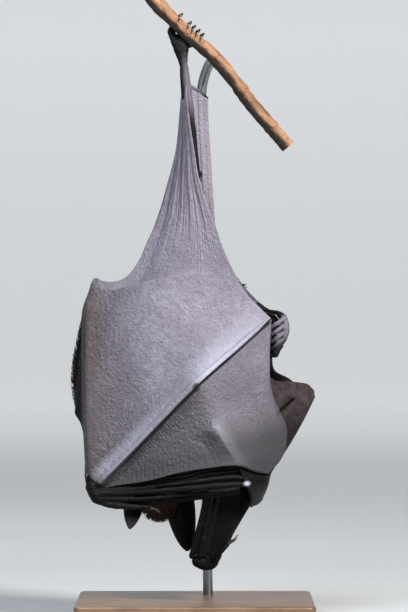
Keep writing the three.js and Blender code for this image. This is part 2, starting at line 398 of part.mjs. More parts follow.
// ---------------------------------------------------------------- assembly
const group = new THREE.Group();
group.name = 'fruit_bat';
const kept = [];
for (const [name, colour, roughness, metalness, make] of pieces) {
  let body = make(0);
  const bb = body.boundingBox();
  for (const k of kept) {
    const apart = [0, 1, 2].some((a) => k.box.min[a] > bb.max[a] || k.box.max[a] < bb.min[a]);
    if (!apart) body = body.subtract(k.swollen);
  }
  const parts = body.decompose().sort((a, b) => b.volume() - a.volume());
  body = parts[0];
  const swollen = make(GAP);
  kept.push({ swollen, box: swollen.boundingBox() });
  const mesh = body.getMesh();
  const g = new THREE.BufferGeometry();
  const pos = [];
  for (let i = 0; i < mesh.vertProperties.length; i += mesh.numProp) {
    pos.push(mesh.vertProperties[i], mesh.vertProperties[i + 1], mesh.vertProperties[i + 2]);
  }
  g.setAttribute('position', new THREE.Float32BufferAttribute(pos, 3));
  g.setIndex(Array.from(mesh.triVerts));
  g.computeVertexNormals();
  const m = new THREE.Mesh(g, new THREE.MeshStandardMaterial({ color: colour, roughness, metalness }));
  m.name = name;
  group.add(m);
}

export default group;
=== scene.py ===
import bpy, bmesh, math
import numpy as np
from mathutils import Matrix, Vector
from mathutils.bvhtree import BVHTree


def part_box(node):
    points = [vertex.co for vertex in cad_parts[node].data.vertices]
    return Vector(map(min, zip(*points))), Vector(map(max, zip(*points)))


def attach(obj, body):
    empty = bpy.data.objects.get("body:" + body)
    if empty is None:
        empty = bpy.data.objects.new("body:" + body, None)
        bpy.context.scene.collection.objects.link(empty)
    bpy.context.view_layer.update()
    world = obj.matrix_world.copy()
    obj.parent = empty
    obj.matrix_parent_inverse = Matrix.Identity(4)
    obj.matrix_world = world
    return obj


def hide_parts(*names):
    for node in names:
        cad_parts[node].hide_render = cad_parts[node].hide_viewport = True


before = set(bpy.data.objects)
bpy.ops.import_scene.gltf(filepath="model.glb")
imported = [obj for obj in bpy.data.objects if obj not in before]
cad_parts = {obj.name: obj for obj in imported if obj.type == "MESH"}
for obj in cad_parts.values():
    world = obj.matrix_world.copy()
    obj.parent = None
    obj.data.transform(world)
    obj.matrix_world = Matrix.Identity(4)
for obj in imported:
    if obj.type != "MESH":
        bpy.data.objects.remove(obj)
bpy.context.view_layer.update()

RNG = np.random.RandomState(7)
MM = 0.001
D0 = 3000.0                      # viewing distance in mm

# ------------------------------------------------------------------ curves and forms (millimetres)
class Curve:
    """Centripetal Catmull-Rom through the points, read by arc length."""
    def __init__(self, pts, n=24):
        P = np.array(pts, float)
        if len(P) == 2:
            P = np.array([P[0], P[0] * 2 / 3 + P[1] / 3, P[0] / 3 + P[1] * 2 / 3, P[1]])
        Q = np.vstack([2 * P[0] - P[1], P, 2 * P[-1] - P[-2]])
        out = []
        for i in range(1, len(Q) - 2):
            p0, p1, p2, p3 = Q[i - 1:i + 3]
            d0 = max(1e-4, np.linalg.norm(p1 - p0)) ** 0.5
            d1 = max(1e-4, np.linalg.norm(p2 - p1)) ** 0.5
            d2 = max(1e-4, np.linalg.norm(p3 - p2)) ** 0.5
            t1 = ((p1 - p0) / d0 - (p2 - p0) / (d0 + d1) + (p2 - p1) / d1) * d1
            t2 = ((p2 - p1) / d1 - (p3 - p1) / (d1 + d2) + (p3 - p2) / d2) * d1
            s = np.linspace(0, 1, n, endpoint=False)[:, None]
            out.append((2 * s**3 - 3 * s**2 + 1) * p1 + (s**3 - 2 * s**2 + s) * t1 + (-2 * s**3 + 3 * s**2) * p2 + (s**3 - s**2) * t2)
        out.append(Q[-2][None])
        self.p = np.vstack(out)
        seg = np.linalg.norm(np.diff(self.p, axis=0), axis=1)
        self.s = np.concatenate([[0], np.cumsum(seg)])
        self.length = self.s[-1]
        self.s = self.s / self.length
    def at(self, t):
        t = np.clip(t, 0, 1)
        return np.stack([np.interp(t, self.s, self.p[:, k]) for k in range(3)], -1)

def noise(P, scale, seed=0):
    """Smooth value noise in -1..1 at the points P, with cells of `scale` mm."""
    q = np.asarray(P, float) / scale + 1000.0 + seed * 17.31
    i = np.floor(q).astype(np.int64)
    f = q - i
    f = f * f * (3 - 2 * f)
    def h(a, b, c):
        n = (a * 73856093) ^ (b * 19349663) ^ (c * 83492791) ^ (seed * 2654435761)
        n = (n ^ (n >> 13)) * 1274126177
        return ((n & 0xffff) / 32767.5) - 1.0
    x, y, z = i[..., 0], i[..., 1], i[..., 2]
    r = 0
    for dx in (0, 1):
        wx = f[..., 0] if dx else 1 - f[..., 0]
        for dy in (0, 1):
            wy = f[..., 1] if dy else 1 - f[..., 1]
            for dz in (0, 1):
                wz = f[..., 2] if dz else 1 - f[..., 2]
                r = r + wx * wy * wz * h(x + dx, y + dy, z + dz)
    return r

def lookup(v, t):
    v = np.atleast_1d(np.array(v, float))
    return np.interp(t, np.linspace(0, 1, len(v)), v)

def limb_grid(path, wide, deep, n, sides, side=(1, 0, 0), grow=0.0, flat=False, taper=True):
    c = Curve(path)
    hint = np.array(side, float); hint /= np.linalg.norm(hint)
    t = np.linspace(0, 1, n + 1)
    scale = np.ones(n + 1); shift = np.zeros(n + 1)
    if not flat:
        a = np.array([84, 68, 50, 32, 15]) * math.pi / 180
        t = np.concatenate([np.zeros(5), t, np.ones(5)])
        scale = np.concatenate([np.cos(a), scale, np.cos(a[::-1])])
        shift = np.concatenate([-np.sin(a), shift, np.sin(a[::-1])])
    p = c.at(t)
    e = 2e-3
    tan = c.at(np.minimum(1, t + e)) - c.at(np.maximum(0, t - e))
    tan /= np.linalg.norm(tan, axis=1)[:, None]
    A = hint - (tan @ hint)[:, None] * tan
    A /= np.linalg.norm(A, axis=1)[:, None]
    B = np.cross(tan, A)
    rw = lookup(wide, t) + grow
    rd = lookup(deep, t) + grow
    p = p + tan * (shift * np.minimum(rw, rd))[:, None]
    w = 2 * math.pi * np.arange(sides) / sides
    N = np.cos(w)[None, :, None] * A[:, None] + np.sin(w)[None, :, None] * B[:, None]
    X = p[:, None] + (np.cos(w)[None, :, None] * A[:, None] * (rw * scale)[:, None, None] + np.sin(w)[None, :, None] * B[:, None] * (rd * scale)[:, None, None])
    return X, N, p, tan, t

def limb(path, wide, deep, n=40, sides=24, side=(1, 0, 0), grow=0.0, flat=False, warp=None):
    X, N, p, tan, t = limb_grid(path, wide, deep, n, sides, side, grow, flat)
    if warp is not None:
        X = X + N * warp(X, t)[..., None]
    R, S = X.shape[:2]
    V = np.vstack([X.reshape(-1, 3), X[0].mean(0)[None], X[-1].mean(0)[None]])
    i, k = np.meshgrid(np.arange(R - 1), np.arange(S), indexing="ij")
    k2 = (k + 1) % S
    F = [tuple(q) for q in np.stack([i * S + k, i * S + k2, (i + 1) * S + k2, (i + 1) * S + k], -1).reshape(-1, 4)]
    a, b = R * S, R * S + 1
    F += [(a, (q + 1) % S, q) for q in range(S)]
    F += [(b, (R - 1) * S + q, (R - 1) * S + (q + 1) % S) for q in range(S)]
    return V, F

def patch(top, bottom, left, right, swell, haste=0.0):
    T, B, L, R = Curve(top), Curve(bottom), Curve(left), Curve(right)
    c00, c10, c01, c11 = T.at(0.0), T.at(1.0), B.at(0.0), B.at(1.0)
    def f(u, v):
        U, W = u[..., None], v[..., None]
        w = v + haste * v * (1 - v)
        p = T.at(u) * (1 - W) + B.at(u) * W + L.at(v) * (1 - U) + R.at(w) * U
        p = p - (1 - U) * (1 - W) * c00 - U * (1 - W) * c10 - (1 - U) * W * c01 - U * W * c11
        p[..., 1] += swell * np.sin(math.pi * u) * np.sin(math.pi * v)
        return p
    return f

def sheet(f, nu, nv, thick, shape=None):
    u, v = np.meshgrid(np.linspace(0, 1, nu + 1), np.linspace(0, 1, nv + 1))
    P = f(u, v)
    if shape is not None:
        P = shape(P, u, v)
    du = np.gradient(P, axis=1); dv = np.gradient(P, axis=0)
    N = np.cross(du, dv)
    N /= np.maximum(1e-9, np.linalg.norm(N, axis=-1))[..., None]
    edge = np.minimum(np.minimum(u * nu, (1 - u) * nu), np.minimum(v * nv, (1 - v) * nv))
    th = thick * (0.55 + 0.45 * np.minimum(1, edge / 2.0))
    a = P + N * (th / 2)[..., None]
    b = P - N * (th / 2)[..., None]
    V = np.vstack([a.reshape(-1, 3), b.reshape(-1, 3)])
    M = (nu + 1) * (nv + 1); W = nu + 1
    j, i = np.meshgrid(np.arange(nv), np.arange(nu), indexing="ij")
    q = (j * W + i).ravel()
    F = np.stack([q, q + 1, q + W + 1, q + W], -1)
    G = np.stack([M + q, M + q + W, M + q + W + 1, M + q + 1], -1)
    i = np.arange(nu); j = np.arange(nv)
    e = [np.stack([i + 1, i, M + i, M + i + 1], -1)]
    b0 = nv * W + i
    e.append(np.stack([b0, b0 + 1, M + b0 + 1, M + b0], -1))
    l = j * W
    e.append(np.stack([l, l + W, M + l + W, M + l], -1))
    r = j * W + nu
    e.append(np.stack([r + W, r, M + r, M + r + W], -1))
    F = np.vstack([F, G] + e)
    return V, [tuple(x) for x in F]

def make(name, V, F, mat=None, smooth=True):
    me = bpy.data.meshes.new(name)
    me.from_pydata((np.asarray(V) * MM).tolist(), [], F)
    me.validate(); me.update()
    o = bpy.data.objects.new(name, me)
    bpy.context.scene.collection.objects.link(o)
    bm = bmesh.new(); bm.from_mesh(me)
    bmesh.ops.recalc_face_normals(bm, faces=bm.faces)
    if bm.calc_volume(signed=True) < 0:
        bmesh.ops.reverse_faces(bm, faces=bm.faces)
    bm.to_mesh(me); bm.free()
    if smooth:
        me.shade_smooth()
    if mat is not None:
        me.materials.append(mat)
    return o

def baked(o, name=None):
    dg = bpy.context.evaluated_depsgraph_get()
    me = bpy.data.meshes.new_from_object(o.evaluated_get(dg))
    o.modifiers.clear()
    old = o.data
    o.data = me
    bpy.data.meshes.remove(old)
    if name:
        o.name = name; me.name = name
    return o

def merged(objs, name):
    """Joins several objects' meshes in one."""
    bm = bmesh.new()
    mats = []
    for o in objs:
        me = o.data
        idx = []
        for m in me.materials:
            if m not in mats:
                mats.append(m)
            idx.append(mats.index(m))
        n = len(bm.faces)
        bm.from_mesh(me)
        bm.faces.ensure_lookup_table()
        for f in bm.faces[n:]:
            f.material_index = idx[f.material_index] if idx else 0
    me = bpy.data.meshes.new(name)
    bm.to_mesh(me); bm.free()
    for m in mats:
        me.materials.append(m)
    for o in objs:
        d = o.data
        bpy.data.objects.remove(o); bpy.data.meshes.remove(d)
    r = bpy.data.objects.new(name, me)
    bpy.context.scene.collection.objects.link(r)
    me.shade_smooth()
    return r

def voxel(objs, name, size, rounds=4, mat=None):
    o = merged(objs, name)
    m = o.modifiers.new("v", "REMESH"); m.mode = "VOXEL"; m.voxel_size = size * MM; m.use_smooth_shade = True
    s = o.modifiers.new("s", "SMOOTH"); s.factor = 0.5; s.iterations = rounds
    baked(o)
    o.data.materials.clear()
    if mat is not None:
        o.data.materials.append(mat)
    o.data.shade_smooth()
    return o

# ------------------------------------------------------------------ node materials
def mat_new(name, rough=0.5, **sock):
    m = bpy.data.materials.new(name)
    m.use_nodes = True
    nt = m.node_tree
    b = nt.nodes["Principled BSDF"]
    b.inputs["Roughness"].default_value = rough
    for k, v in sock.items():
        b.inputs[k.replace("_", " ")].default_value = v
    tc = nt.nodes.new("ShaderNodeTexCoord")
    return m, nt, b, tc.outputs["Object"]

def N(nt, kind, **props):
    n = nt.nodes.new(kind)
    ins = props.pop("ins", {})
    for k, v in props.items():
        setattr(n, k, v)
    for k, v in ins.items():
        if hasattr(v, "is_output") or isinstance(v, bpy.types.NodeSocket):
            nt.links.new(v, n.inputs[k])
        else:
            n.inputs[k].default_value = v
    return n

def n_noise(nt, vec, scale, detail=4, rough=0.55, stretch=None, rot=None):
    if stretch is not None or rot is not None:
        mp = N(nt, "ShaderNodeMapping", ins={"Vector": vec})
        if stretch is not None: mp.inputs["Scale"].default_value = stretch
        if rot is not None: mp.inputs["Rotation"].default_value = rot
        vec = mp.outputs[0]
    return N(nt, "ShaderNodeTexNoise", ins={"Vector": vec, "Scale": scale, "Detail": detail, "Roughness": rough}).outputs["Fac"]

def n_ramp(nt, fac, stops):
    r = nt.nodes.new("ShaderNodeValToRGB")
    e = r.color_ramp.elements
    while len(e) > 1: e.remove(e[-1])
    e[0].position = stops[0][0]; e[0].color = (*stops[0][1], 1)
    for p, c in stops[1:]:
        x = e.new(p); x.color = (*c, 1)
    nt.links.new(fac, r.inputs["Fac"])
    return r.outputs["Color"]

def n_math(nt, op, a, b=None, clamp=False):
    n = nt.nodes.new("ShaderNodeMath"); n.operation = op; n.use_clamp = clamp
    for i, v in enumerate((a, b)):
        if v is None: continue
        if isinstance(v, (int, float)): n.inputs[i].default_value = v
        else: nt.links.new(v, n.inputs[i])
    return n.outputs[0]

def n_mix(nt, fac, a, b, mode="MIX"):
    n = nt.nodes.new("ShaderNodeMix"); n.data_type = "RGBA"; n.blend_type = mode
    for k, v in ((0, fac), (6, a), (7, b)):
        if isinstance(v, (int, float)): n.inputs[k].default_value = v
        elif isinstance(v, tuple): n.inputs[k].default_value = (*v, 1)
        else: nt.links.new(v, n.inputs[k])
    return n.outputs[2]

def n_range(nt, v, lo, hi, a=0.0, b=1.0):
    n = nt.nodes.new("ShaderNodeMapRange"); n.clamp = True
    nt.links.new(v, n.inputs[0])
    for i, x in enumerate((lo, hi, a, b)): n.inputs[i + 1].default_value = x
    return n.outputs[0]

def bump(nt, b, chain):
    """chain: list of (height socket, strength, distance in metres)."""
    prev = None
    for h, s, d in chain:
        n = nt.nodes.new("ShaderNodeBump")
        n.inputs["Strength"].default_value = s
        n.inputs["Distance"].default_value = d
        nt.links.new(h, n.inputs["Height"])
        if prev is not None: nt.links.new(prev, n.inputs["Normal"])
        prev = n.outputs[0]
    nt.links.new(prev, b.inputs["Normal"])

def spot(nt, vec, centre, radius):
    """1 at `centre` falling to 0 at `radius` (metres, per axis)."""
    mp = N(nt, "ShaderNodeMapping", ins={"Vector": vec})
    mp.vector_type = "POINT"
    mp.inputs["Location"].default_value = [-c / r for c, r in zip(centre, radius)]
    mp.inputs["Scale"].default_value = [1 / r for r in radius]
    ln = N(nt, "ShaderNodeVectorMath", operation="LENGTH", ins={0: mp.outputs[0]}).outputs["Value"]
    return n_range(nt, ln, 0.35, 1.0, 1.0, 0.0)

def groove(nt, xyz, a, b, lo, hi):
    """1 in a narrow strip beside the line from a to b in the front view (metres); lo..hi is the strip's reach to the line's right."""
    d = np.array(b, float) - np.array(a, float)
    L = float(np.linalg.norm(d)); d = d / L
    n = (float(d[1]), float(-d[0]))
    off = n_math(nt, "ADD", n_math(nt, "MULTIPLY", xyz["X"], n[0]), n_math(nt, "MULTIPLY", xyz["Z"], n[1]))
    off = n_math(nt, "SUBTRACT", off, a[0] * n[0] + a[1] * n[1])
    al = n_math(nt, "ADD", n_math(nt, "MULTIPLY", xyz["X"], float(d[0])), n_math(nt, "MULTIPLY", xyz["Z"], float(d[1])))
    al = n_math(nt, "SUBTRACT", al, float(a[0] * d[0] + a[1] * d[1]))
    m = n_math(nt, "MULTIPLY", n_range(nt, off, lo, lo + 0.0006), n_range(nt, off, hi, hi - 0.0008))
    m = n_math(nt, "MULTIPLY", m, n_range(nt, al, -0.002, 0.004))
    return n_math(nt, "MULTIPLY", m, n_range(nt, al, L + 0.001, L - 0.002))

# wing skin: grey-mauve leather with fine crossing fibres, brown and hairier by the forearm
def wing_material(name, gloss, sheen):
    m, nt, b, P = mat_new(name, 0.42, Sheen_Weight=sheen, Sheen_Roughness=0.35, Specular_IOR_Level=gloss)
    b.inputs["Sheen Tint"].default_value = (0.70, 0.76, 1.0, 1)
    big = n_noise(nt, P, 26, 3)
    mid = n_noise(nt, P, 190, 5, 0.62)
    fine = n_noise(nt, P, 950, 4, 0.6)
    xyz = N(nt, "ShaderNodeSeparateXYZ", ins={"Vector": P}).outputs
    col = n_ramp(nt, big, [(0.3, WING_DARK), (0.7, WING_LIGHT)])
    col = n_mix(nt, n_range(nt, mid, 0.42, 0.66, 0.0, 0.55), col, WING_SHADE)
    # painted highlight: a slightly lighter patch down the upper sheet below the ankle
    col = n_mix(nt, spot(nt, P, (0.009, 0.002, 0.350), (0.022, 0.03, 0.12)), col, (0.160, 0.134, 0.162))
    # painted shade: darker towards the forearm and the wrist, on the side turned away from the light
    edge = n_math(nt, "ADD", xyz["X"], n_range(nt, n_noise(nt, P, 60, 4), 0.2, 0.8, -0.010, 0.010))
    left_painted_shade = n_math(nt, "MULTIPLY", n_range(nt, edge, -0.086, -0.026, 0.92, 0.0), n_range(nt, xyz["Z"], 0.262, 0.285, 1.0, 0.0))
    col = n_mix(nt, left_painted_shade, col, (0.016, 0.012, 0.013))
    # painted shade: darker towards the lower left
    low_painted_shade = n_math(nt, "ADD", xyz["Z"], n_math(nt, "MULTIPLY", xyz["X"], -0.30))
    col = n_mix(nt, n_range(nt, low_painted_shade, 0.192, 0.126, 0.0, 0.93), col, (0.015, 0.012, 0.014))
    # painted shade on the hand membrane below the fifth finger
    under5_painted_shade = n_math(nt, "MULTIPLY", n_math(nt, "MULTIPLY", groove(nt, xyz, LINE_A, LINE_B, 0.0010, 0.2), n_range(nt, xyz["X"], 0.026, -0.004)), n_range(nt, xyz["Y"], -0.030, -0.034))
    col = n_mix(nt, n_math(nt, "MULTIPLY", under5_painted_shade, 0.72), col, (0.016, 0.013, 0.015))
    # painted shade on the lower right of the hand membrane
    side = n_math(nt, "MULTIPLY", n_range(nt, xyz["X"], 0.036, 0.064), n_range(nt, xyz["Z"], 0.172, 0.140))
    col = n_mix(nt, n_math(nt, "MULTIPLY", side, 0.85), col, (0.016, 0.014, 0.016))
    brown = n_math(nt, "MULTIPLY", spot(nt, P, (-0.080, -0.010, 0.232), (0.017, 0.06, 0.046)), n_range(nt, n_noise(nt, P, 420, 4, 0.6, stretch=(1.8, 1, 0.35)), 0.36, 0.56))
    col = n_mix(nt, n_math(nt, "MULTIPLY", brown, 0.9), col, (0.020, 0.009, 0.005))
    speck = n_math(nt, "MULTIPLY", spot(nt, P, (-0.072, -0.03, 0.165), (0.03, 0.2, 0.10)), n_range(nt, n_noise(nt, P, 700, 3, 0.6), 0.52, 0.64, 0.0, 0.8))
    col = n_mix(nt, speck, col, (0.070, 0.043, 0.027))
    flap = n_math(nt, "MULTIPLY", n_math(nt, "MULTIPLY", n_range(nt, xyz["Y"], -0.014, -0.008), n_range(nt, xyz["X"], 0.050, 0.062)), n_range(nt, xyz["Z"], 0.205, 0.195))
    col = n_mix(nt, flap, col, n_ramp(nt, mid, [(0.35, (0.020, 0.014, 0.014)), (0.65, (0.050, 0.037, 0.039))]))
    # painted shade on the lower part of the far elbow flap
    col = n_mix(nt, n_math(nt, "MULTIPLY", n_math(nt, "MULTIPLY", flap, n_range(nt, xyz["Z"], 0.176, 0.150)), 0.8), col, (0.007, 0.005, 0.005))
    # shade in the fold under the fifth finger, and in the hollow beside the knuckle
    g1 = groove(nt, xyz, LINE_A, LINE_B, 0.0016, 0.0048)
    g2 = groove(nt, xyz, LINE_B, LINE_C, 0.0014, 0.0038)
    g3 = spot(nt, P, KNOB, (0.0042, 0.03, 0.0042))
    g4 = n_math(nt, "MULTIPLY", spot(nt, P, HOLLOW, (0.0075, 0.04, 0.0085)), n_range(nt, fine, 0.35, 0.65, 0.0, 0.75))
    g5 = n_math(nt, "MULTIPLY", groove(nt, xyz, SLOT_A, SLOT_B, -0.0016, 0.0016), 0.9)
    gr = n_math(nt, "MAXIMUM", n_math(nt, "MAXIMUM", g1, g2), n_math(nt, "MAXIMUM", n_math(nt, "MAXIMUM", g3, g4), g5))
    col = n_mix(nt, n_math(nt, "MULTIPLY", gr, 0.93), col, (0.004, 0.003, 0.003))
    def band(a, b, lo, hi, soft):
        d = np.array(b, float) - np.array(a, float); L = float(np.linalg.norm(d)); d = d / L
        n = (float(d[1]), float(-d[0]))
        off = n_math(nt, "ADD", n_math(nt, "MULTIPLY", xyz["X"], n[0]), n_math(nt, "MULTIPLY", xyz["Z"], n[1]))
        off = n_math(nt, "SUBTRACT", off, float(a[0] * n[0] + a[1] * n[1]))
        al = n_math(nt, "ADD", n_math(nt, "MULTIPLY", xyz["X"], float(d[0])), n_math(nt, "MULTIPLY", xyz["Z"], float(d[1])))
        al = n_math(nt, "SUBTRACT", al, float(a[0] * d[0] + a[1] * d[1]))
        m = n_math(nt, "MULTIPLY", n_range(nt, off, lo - soft, lo + soft), n_range(nt, off, hi, hi - 0.0006))
        return n_math(nt, "MULTIPLY", m, n_math(nt, "MULTIPLY", n_range(nt, al, -0.006, 0.010), n_range(nt, al, L + 0.004, L - 0.055)))
    # painted highlight: a pale bluish band along the upper side of the fifth finger
    near = n_math(nt, "MAXIMUM", n_math(nt, "MULTIPLY", band(LINE_A, LINE_B, -0.009, 0.0012, 0.0035), 0.42), n_math(nt, "MULTIPLY", band(LINE_B, LINE_C, -0.010, 0.0012, 0.009), 0.70))
    col = n_mix(nt, near, col, (0.36, 0.355, 0.43))
    # painted highlight along the ridge of the hand membrane
    glint = n_math(nt, "MULTIPLY", n_math(nt, "MAXIMUM", band(RIDGE_A, RIDGE_B, -0.006, 0.0014, 0.003), spot(nt, P, RIDGE_A3, (0.007, 0.04, 0.006))), 0.45)
    col = n_mix(nt, glint, col, (0.25, 0.24, 0.28))
    # painted shade: the wing behind and the strip behind the left forearm are darkened nearly to black
    far = n_math(nt, "MULTIPLY", n_range(nt, xyz["Y"], -0.036, -0.030), n_range(nt, xyz["Z"], 0.124, 0.108))
    back = n_math(nt, "MULTIPLY", n_range(nt, xyz["X"], -0.0815, -0.0840), n_math(nt, "MULTIPLY", n_range(nt, xyz["Y"], -0.030, -0.012), n_range(nt, xyz["Z"], 0.240, 0.225)))
    col = n_mix(nt, n_math(nt, "MAXIMUM", far, back), col, (0.0022, 0.0018, 0.0020))
    # painted shade in the folds, laid again over the darkened parts
    col = n_mix(nt, n_math(nt, "MULTIPLY", gr, 0.93), col, (0.003, 0.002, 0.002))
    nt.links.new(col, b.inputs["Base Color"])
    rg = n_math(nt, "MAXIMUM", n_range(nt, mid, 0.3, 0.7, 0.34, 0.52), n_math(nt, "MULTIPLY", n_math(nt, "MAXIMUM", n_math(nt, "MAXIMUM", flap, far), gr), 0.85))
    rg = n_math(nt, "MAXIMUM", rg, n_math(nt, "MULTIPLY", n_math(nt, "MAXIMUM", left_painted_shade, n_range(nt, low_painted_shade, 0.192, 0.126)), 0.74))
    nt.links.new(rg, b.inputs["Roughness"])
    mp = N(nt, "ShaderNodeMapping", ins={"Vector": P}); mp.inputs["Rotation"].default_value = (0, -0.78, 0)
    fib = N(nt, "ShaderNodeTexNoise", ins={"Scale": 60.0, "Detail": 5.0, "Roughness": 0.6})
    st = N(nt, "ShaderNodeMapping", ins={"Vector": mp.outputs[0]}); st.inputs["Scale"].default_value = (0.30, 1, 5.0)
    nt.links.new(st.outputs[0], fib.inputs["Vector"])
    peb = N(nt, "ShaderNodeTexVoronoi", feature="F1", ins={"Vector": P, "Scale": 560.0}).outputs["Distance"]
    bump(nt, b, [(fib.outputs["Fac"], 0.35, 0.0012), (n_noise(nt, P, 330, 5, 0.68), 0.85, 0.0014), (peb, 0.35, 0.0008), (fine, 0.5, 0.0006)])
    return m

def bare_material():
    m, nt, b, P = mat_new("bare_skin", 0.46, Specular_IOR_Level=0.11)
    big = n_noise(nt, P, 60, 4)
    xyz = N(nt, "ShaderNodeSeparateXYZ", ins={"Vector": P}).outputs
    # near-black: the bare skin's own dark tone, darkened further as painted shade
    col = n_ramp(nt, big, [(0.3, (0.0012, 0.0011, 0.0011)), (0.7, (0.0034, 0.0031, 0.0031))])
    # painted highlight: the lit top of the free foot, the lit side of the leg, the toes on top of the branch and the
    # ear tip
    foot = n_math(nt, "MULTIPLY", n_math(nt, "MULTIPLY", spot(nt, P, (0.075, -0.004, 0.234), (0.018, 0.03, 0.026)), n_range(nt, xyz["Y"], -0.0035, -0.0075)), n_range(nt, n_math(nt, "SUBTRACT", xyz["Z"], n_math(nt, "MULTIPLY", xyz["X"], 0.55)), 0.1765, 0.1825))
    leg = n_math(nt, "MULTIPLY", spot(nt, P, (-0.001, -0.003, 0.425), (0.014, 0.02, 0.030)), n_range(nt, n_math(nt, "ADD", xyz["X"], n_math(nt, "MULTIPLY", n_math(nt, "SUBTRACT", xyz["Z"], 0.40), 0.11)), -0.0035, 0.0005))
    toes = n_math(nt, "MULTIPLY", spot(nt, P, (0.0035, 0.0, 0.474), (0.012, 0.012, 0.008)), 0.8)
    tip = n_math(nt, "MULTIPLY", spot(nt, P, (-0.0475, -0.006, 0.0725), (0.012, 0.03, 0.010)), 0.95)
    painted_highlight = n_math(nt, "MAXIMUM", n_math(nt, "MAXIMUM", foot, n_math(nt, "MULTIPLY", leg, 0.75)), n_math(nt, "MAXIMUM", toes, tip))
    col = n_mix(nt, painted_highlight, col, (0.130, 0.117, 0.142))
    # painted highlight on the knuckle at the end of the finger bundle
    col = n_mix(nt, spot(nt, P, KNUCKLE, (0.0036, 0.02, 0.0026)), col, (0.34, 0.33, 0.38))
    # painted sheen: thin lighter streaks along the folds
    painted_sheen_strand = n_math(nt, "MULTIPLY", n_range(nt, n_noise(nt, P, 420, 4, 0.6, stretch=(0.25, 1, 2.2)), 0.54, 0.72), 0.30)
    col = n_mix(nt, painted_sheen_strand, col, (0.035, 0.032, 0.034))
    nt.links.new(col, b.inputs["Base Color"])
    wr = N(nt, "ShaderNodeTexVoronoi", feature="DISTANCE_TO_EDGE", ins={"Vector": P, "Scale": 520.0}).outputs["Distance"]
    bump(nt, b, [(n_range(nt, wr, 0.0, 0.10), 0.25, 0.0004), (n_noise(nt, P, 420, 5, 0.65, stretch=(0.4, 1, 1.6)), 0.7, 0.0010)])
    return m

def fur_colour(nt, P):
    z = N(nt, "ShaderNodeSeparateXYZ", ins={"Vector": P}).outputs["Z"]
    crown = n_range(nt, z, 0.088, 0.120, 1.0, 0.0)
    mantle = n_math(nt, "MULTIPLY", n_range(nt, z, 0.105, 0.130), n_range(nt, z, 0.165, 0.200, 1.0, 0.0))
    nz = n_noise(nt, P, 90, 4)
    base = n_ramp(nt, nz, [(0.3, (0.0035, 0.0022, 0.0018)), (0.7, (0.010, 0.0065, 0.005))])
    base = n_mix(nt, n_math(nt, "MULTIPLY", crown, n_range(nt, nz, 0.3, 0.6, 0.5, 0.9)), base, (0.040, 0.013, 0.006))
    base = n_mix(nt, n_math(nt, "MULTIPLY", mantle, 0.55), base, (0.070, 0.032, 0.014))
    return base

def fur_material(name, rough):
    m, nt, b, P = mat_new(name, rough, Specular_IOR_Level=0.14, Sheen_Weight=0.04, Sheen_Roughness=0.4)
    col = fur_colour(nt, P)
    streak = n_noise(nt, P, 1300, 3, 0.6)
    col = n_mix(nt, n_range(nt, streak, 0.4, 0.75, 0.0, 0.6), col, (0.012, 0.008, 0.006))
    nt.links.new(col, b.inputs["Base Color"])
    bump(nt, b, [(n_noise(nt, P, 500, 3, 0.6, stretch=(2.4, 2.4, 0.5)), 0.6, 0.0008)])
    return m

def claw_material():
    m, nt, b, P = mat_new("claw_horn", 0.22, Specular_IOR_Level=0.7, Coat_Weight=0.4, Coat_Roughness=0.15)
    st = n_noise(nt, P, 240, 4, 0.6, stretch=(3, 1, 1))
    nt.links.new(n_ramp(nt, st, [(0.3, (0.008, 0.007, 0.007)), (0.7, (0.035, 0.028, 0.024))]), b.inputs["Base Color"])
    nt.links.new(n_range(nt, st, 0.3, 0.7, 0.16, 0.34), b.inputs["Roughness"])
    bump(nt, b, [(st, 0.15, 0.0003)])
    return m

def eye_material():
    m, nt, b, P = mat_new("eye_wet", 0.06, Specular_IOR_Level=0.8, Coat_Weight=1.0, Coat_Roughness=0.03)
    f = n_noise(nt, P, 500, 4)
    nt.links.new(n_ramp(nt, f, [(0.3, (0.02, 0.008, 0.004)), (0.7, (0.07, 0.028, 0.010))]), b.inputs["Base Color"])
    return m

def bark_material():
    m, nt, b, P = mat_new("bark", 0.62, Specular_IOR_Level=0.4)
    mp = N(nt, "ShaderNodeMapping", ins={"Vector": P}); mp.inputs["Rotation"].default_value = (0, -0.80, 0)
    Q = mp.outputs[0]
    a = n_noise(nt, Q, 70, 6, 0.6, stretch=(0.45, 1.6, 1.6))
    col = n_ramp(nt, a, [(0.25, (0.035, 0.014, 0.006)), (0.42, (0.13, 0.056, 0.022)), (0.60, (0.28, 0.135, 0.062)), (0.8, (0.48, 0.30, 0.17))])
    sp = n_range(nt, n_noise(nt, P, 380, 4, 0.65), 0.56, 0.68)
    col = n_mix(nt, sp, col, (0.09, 0.038, 0.016))
    # painted shade: darker where the bark faces down, lighter where it faces up
    nrm = N(nt, "ShaderNodeNewGeometry").outputs["Normal"]
    up = N(nt, "ShaderNodeVectorMath", operation="DOT_PRODUCT", ins={0: nrm, 1: (0.62, -0.10, 0.78)}).outputs["Value"]
    under = n_math(nt, "ADD", up, n_range(nt, a, 0.2, 0.8, -0.35, 0.35))
    col = n_mix(nt, n_range(nt, under, -0.22, 0.24, 0.96, 0.0), col, (0.012, 0.006, 0.003))
    nt.links.new(col, b.inputs["Base Color"])
    nt.links.new(n_range(nt, a, 0.2, 0.8, 0.5, 0.75), b.inputs["Roughness"])
    rings = N(nt, "ShaderNodeTexWave", wave_type="BANDS", bands_direction="X", ins={"Vector": Q, "Scale": 26.0, "Distortion": 9.0, "Detail": 3.0, "Detail Scale": 2.0}).outputs["Fac"]
    bump(nt, b, [(a, 0.5, 0.0016), (rings, 0.22, 0.0007), (n_noise(nt, P, 700, 5, 0.65), 0.4, 0.0006)])
    return m

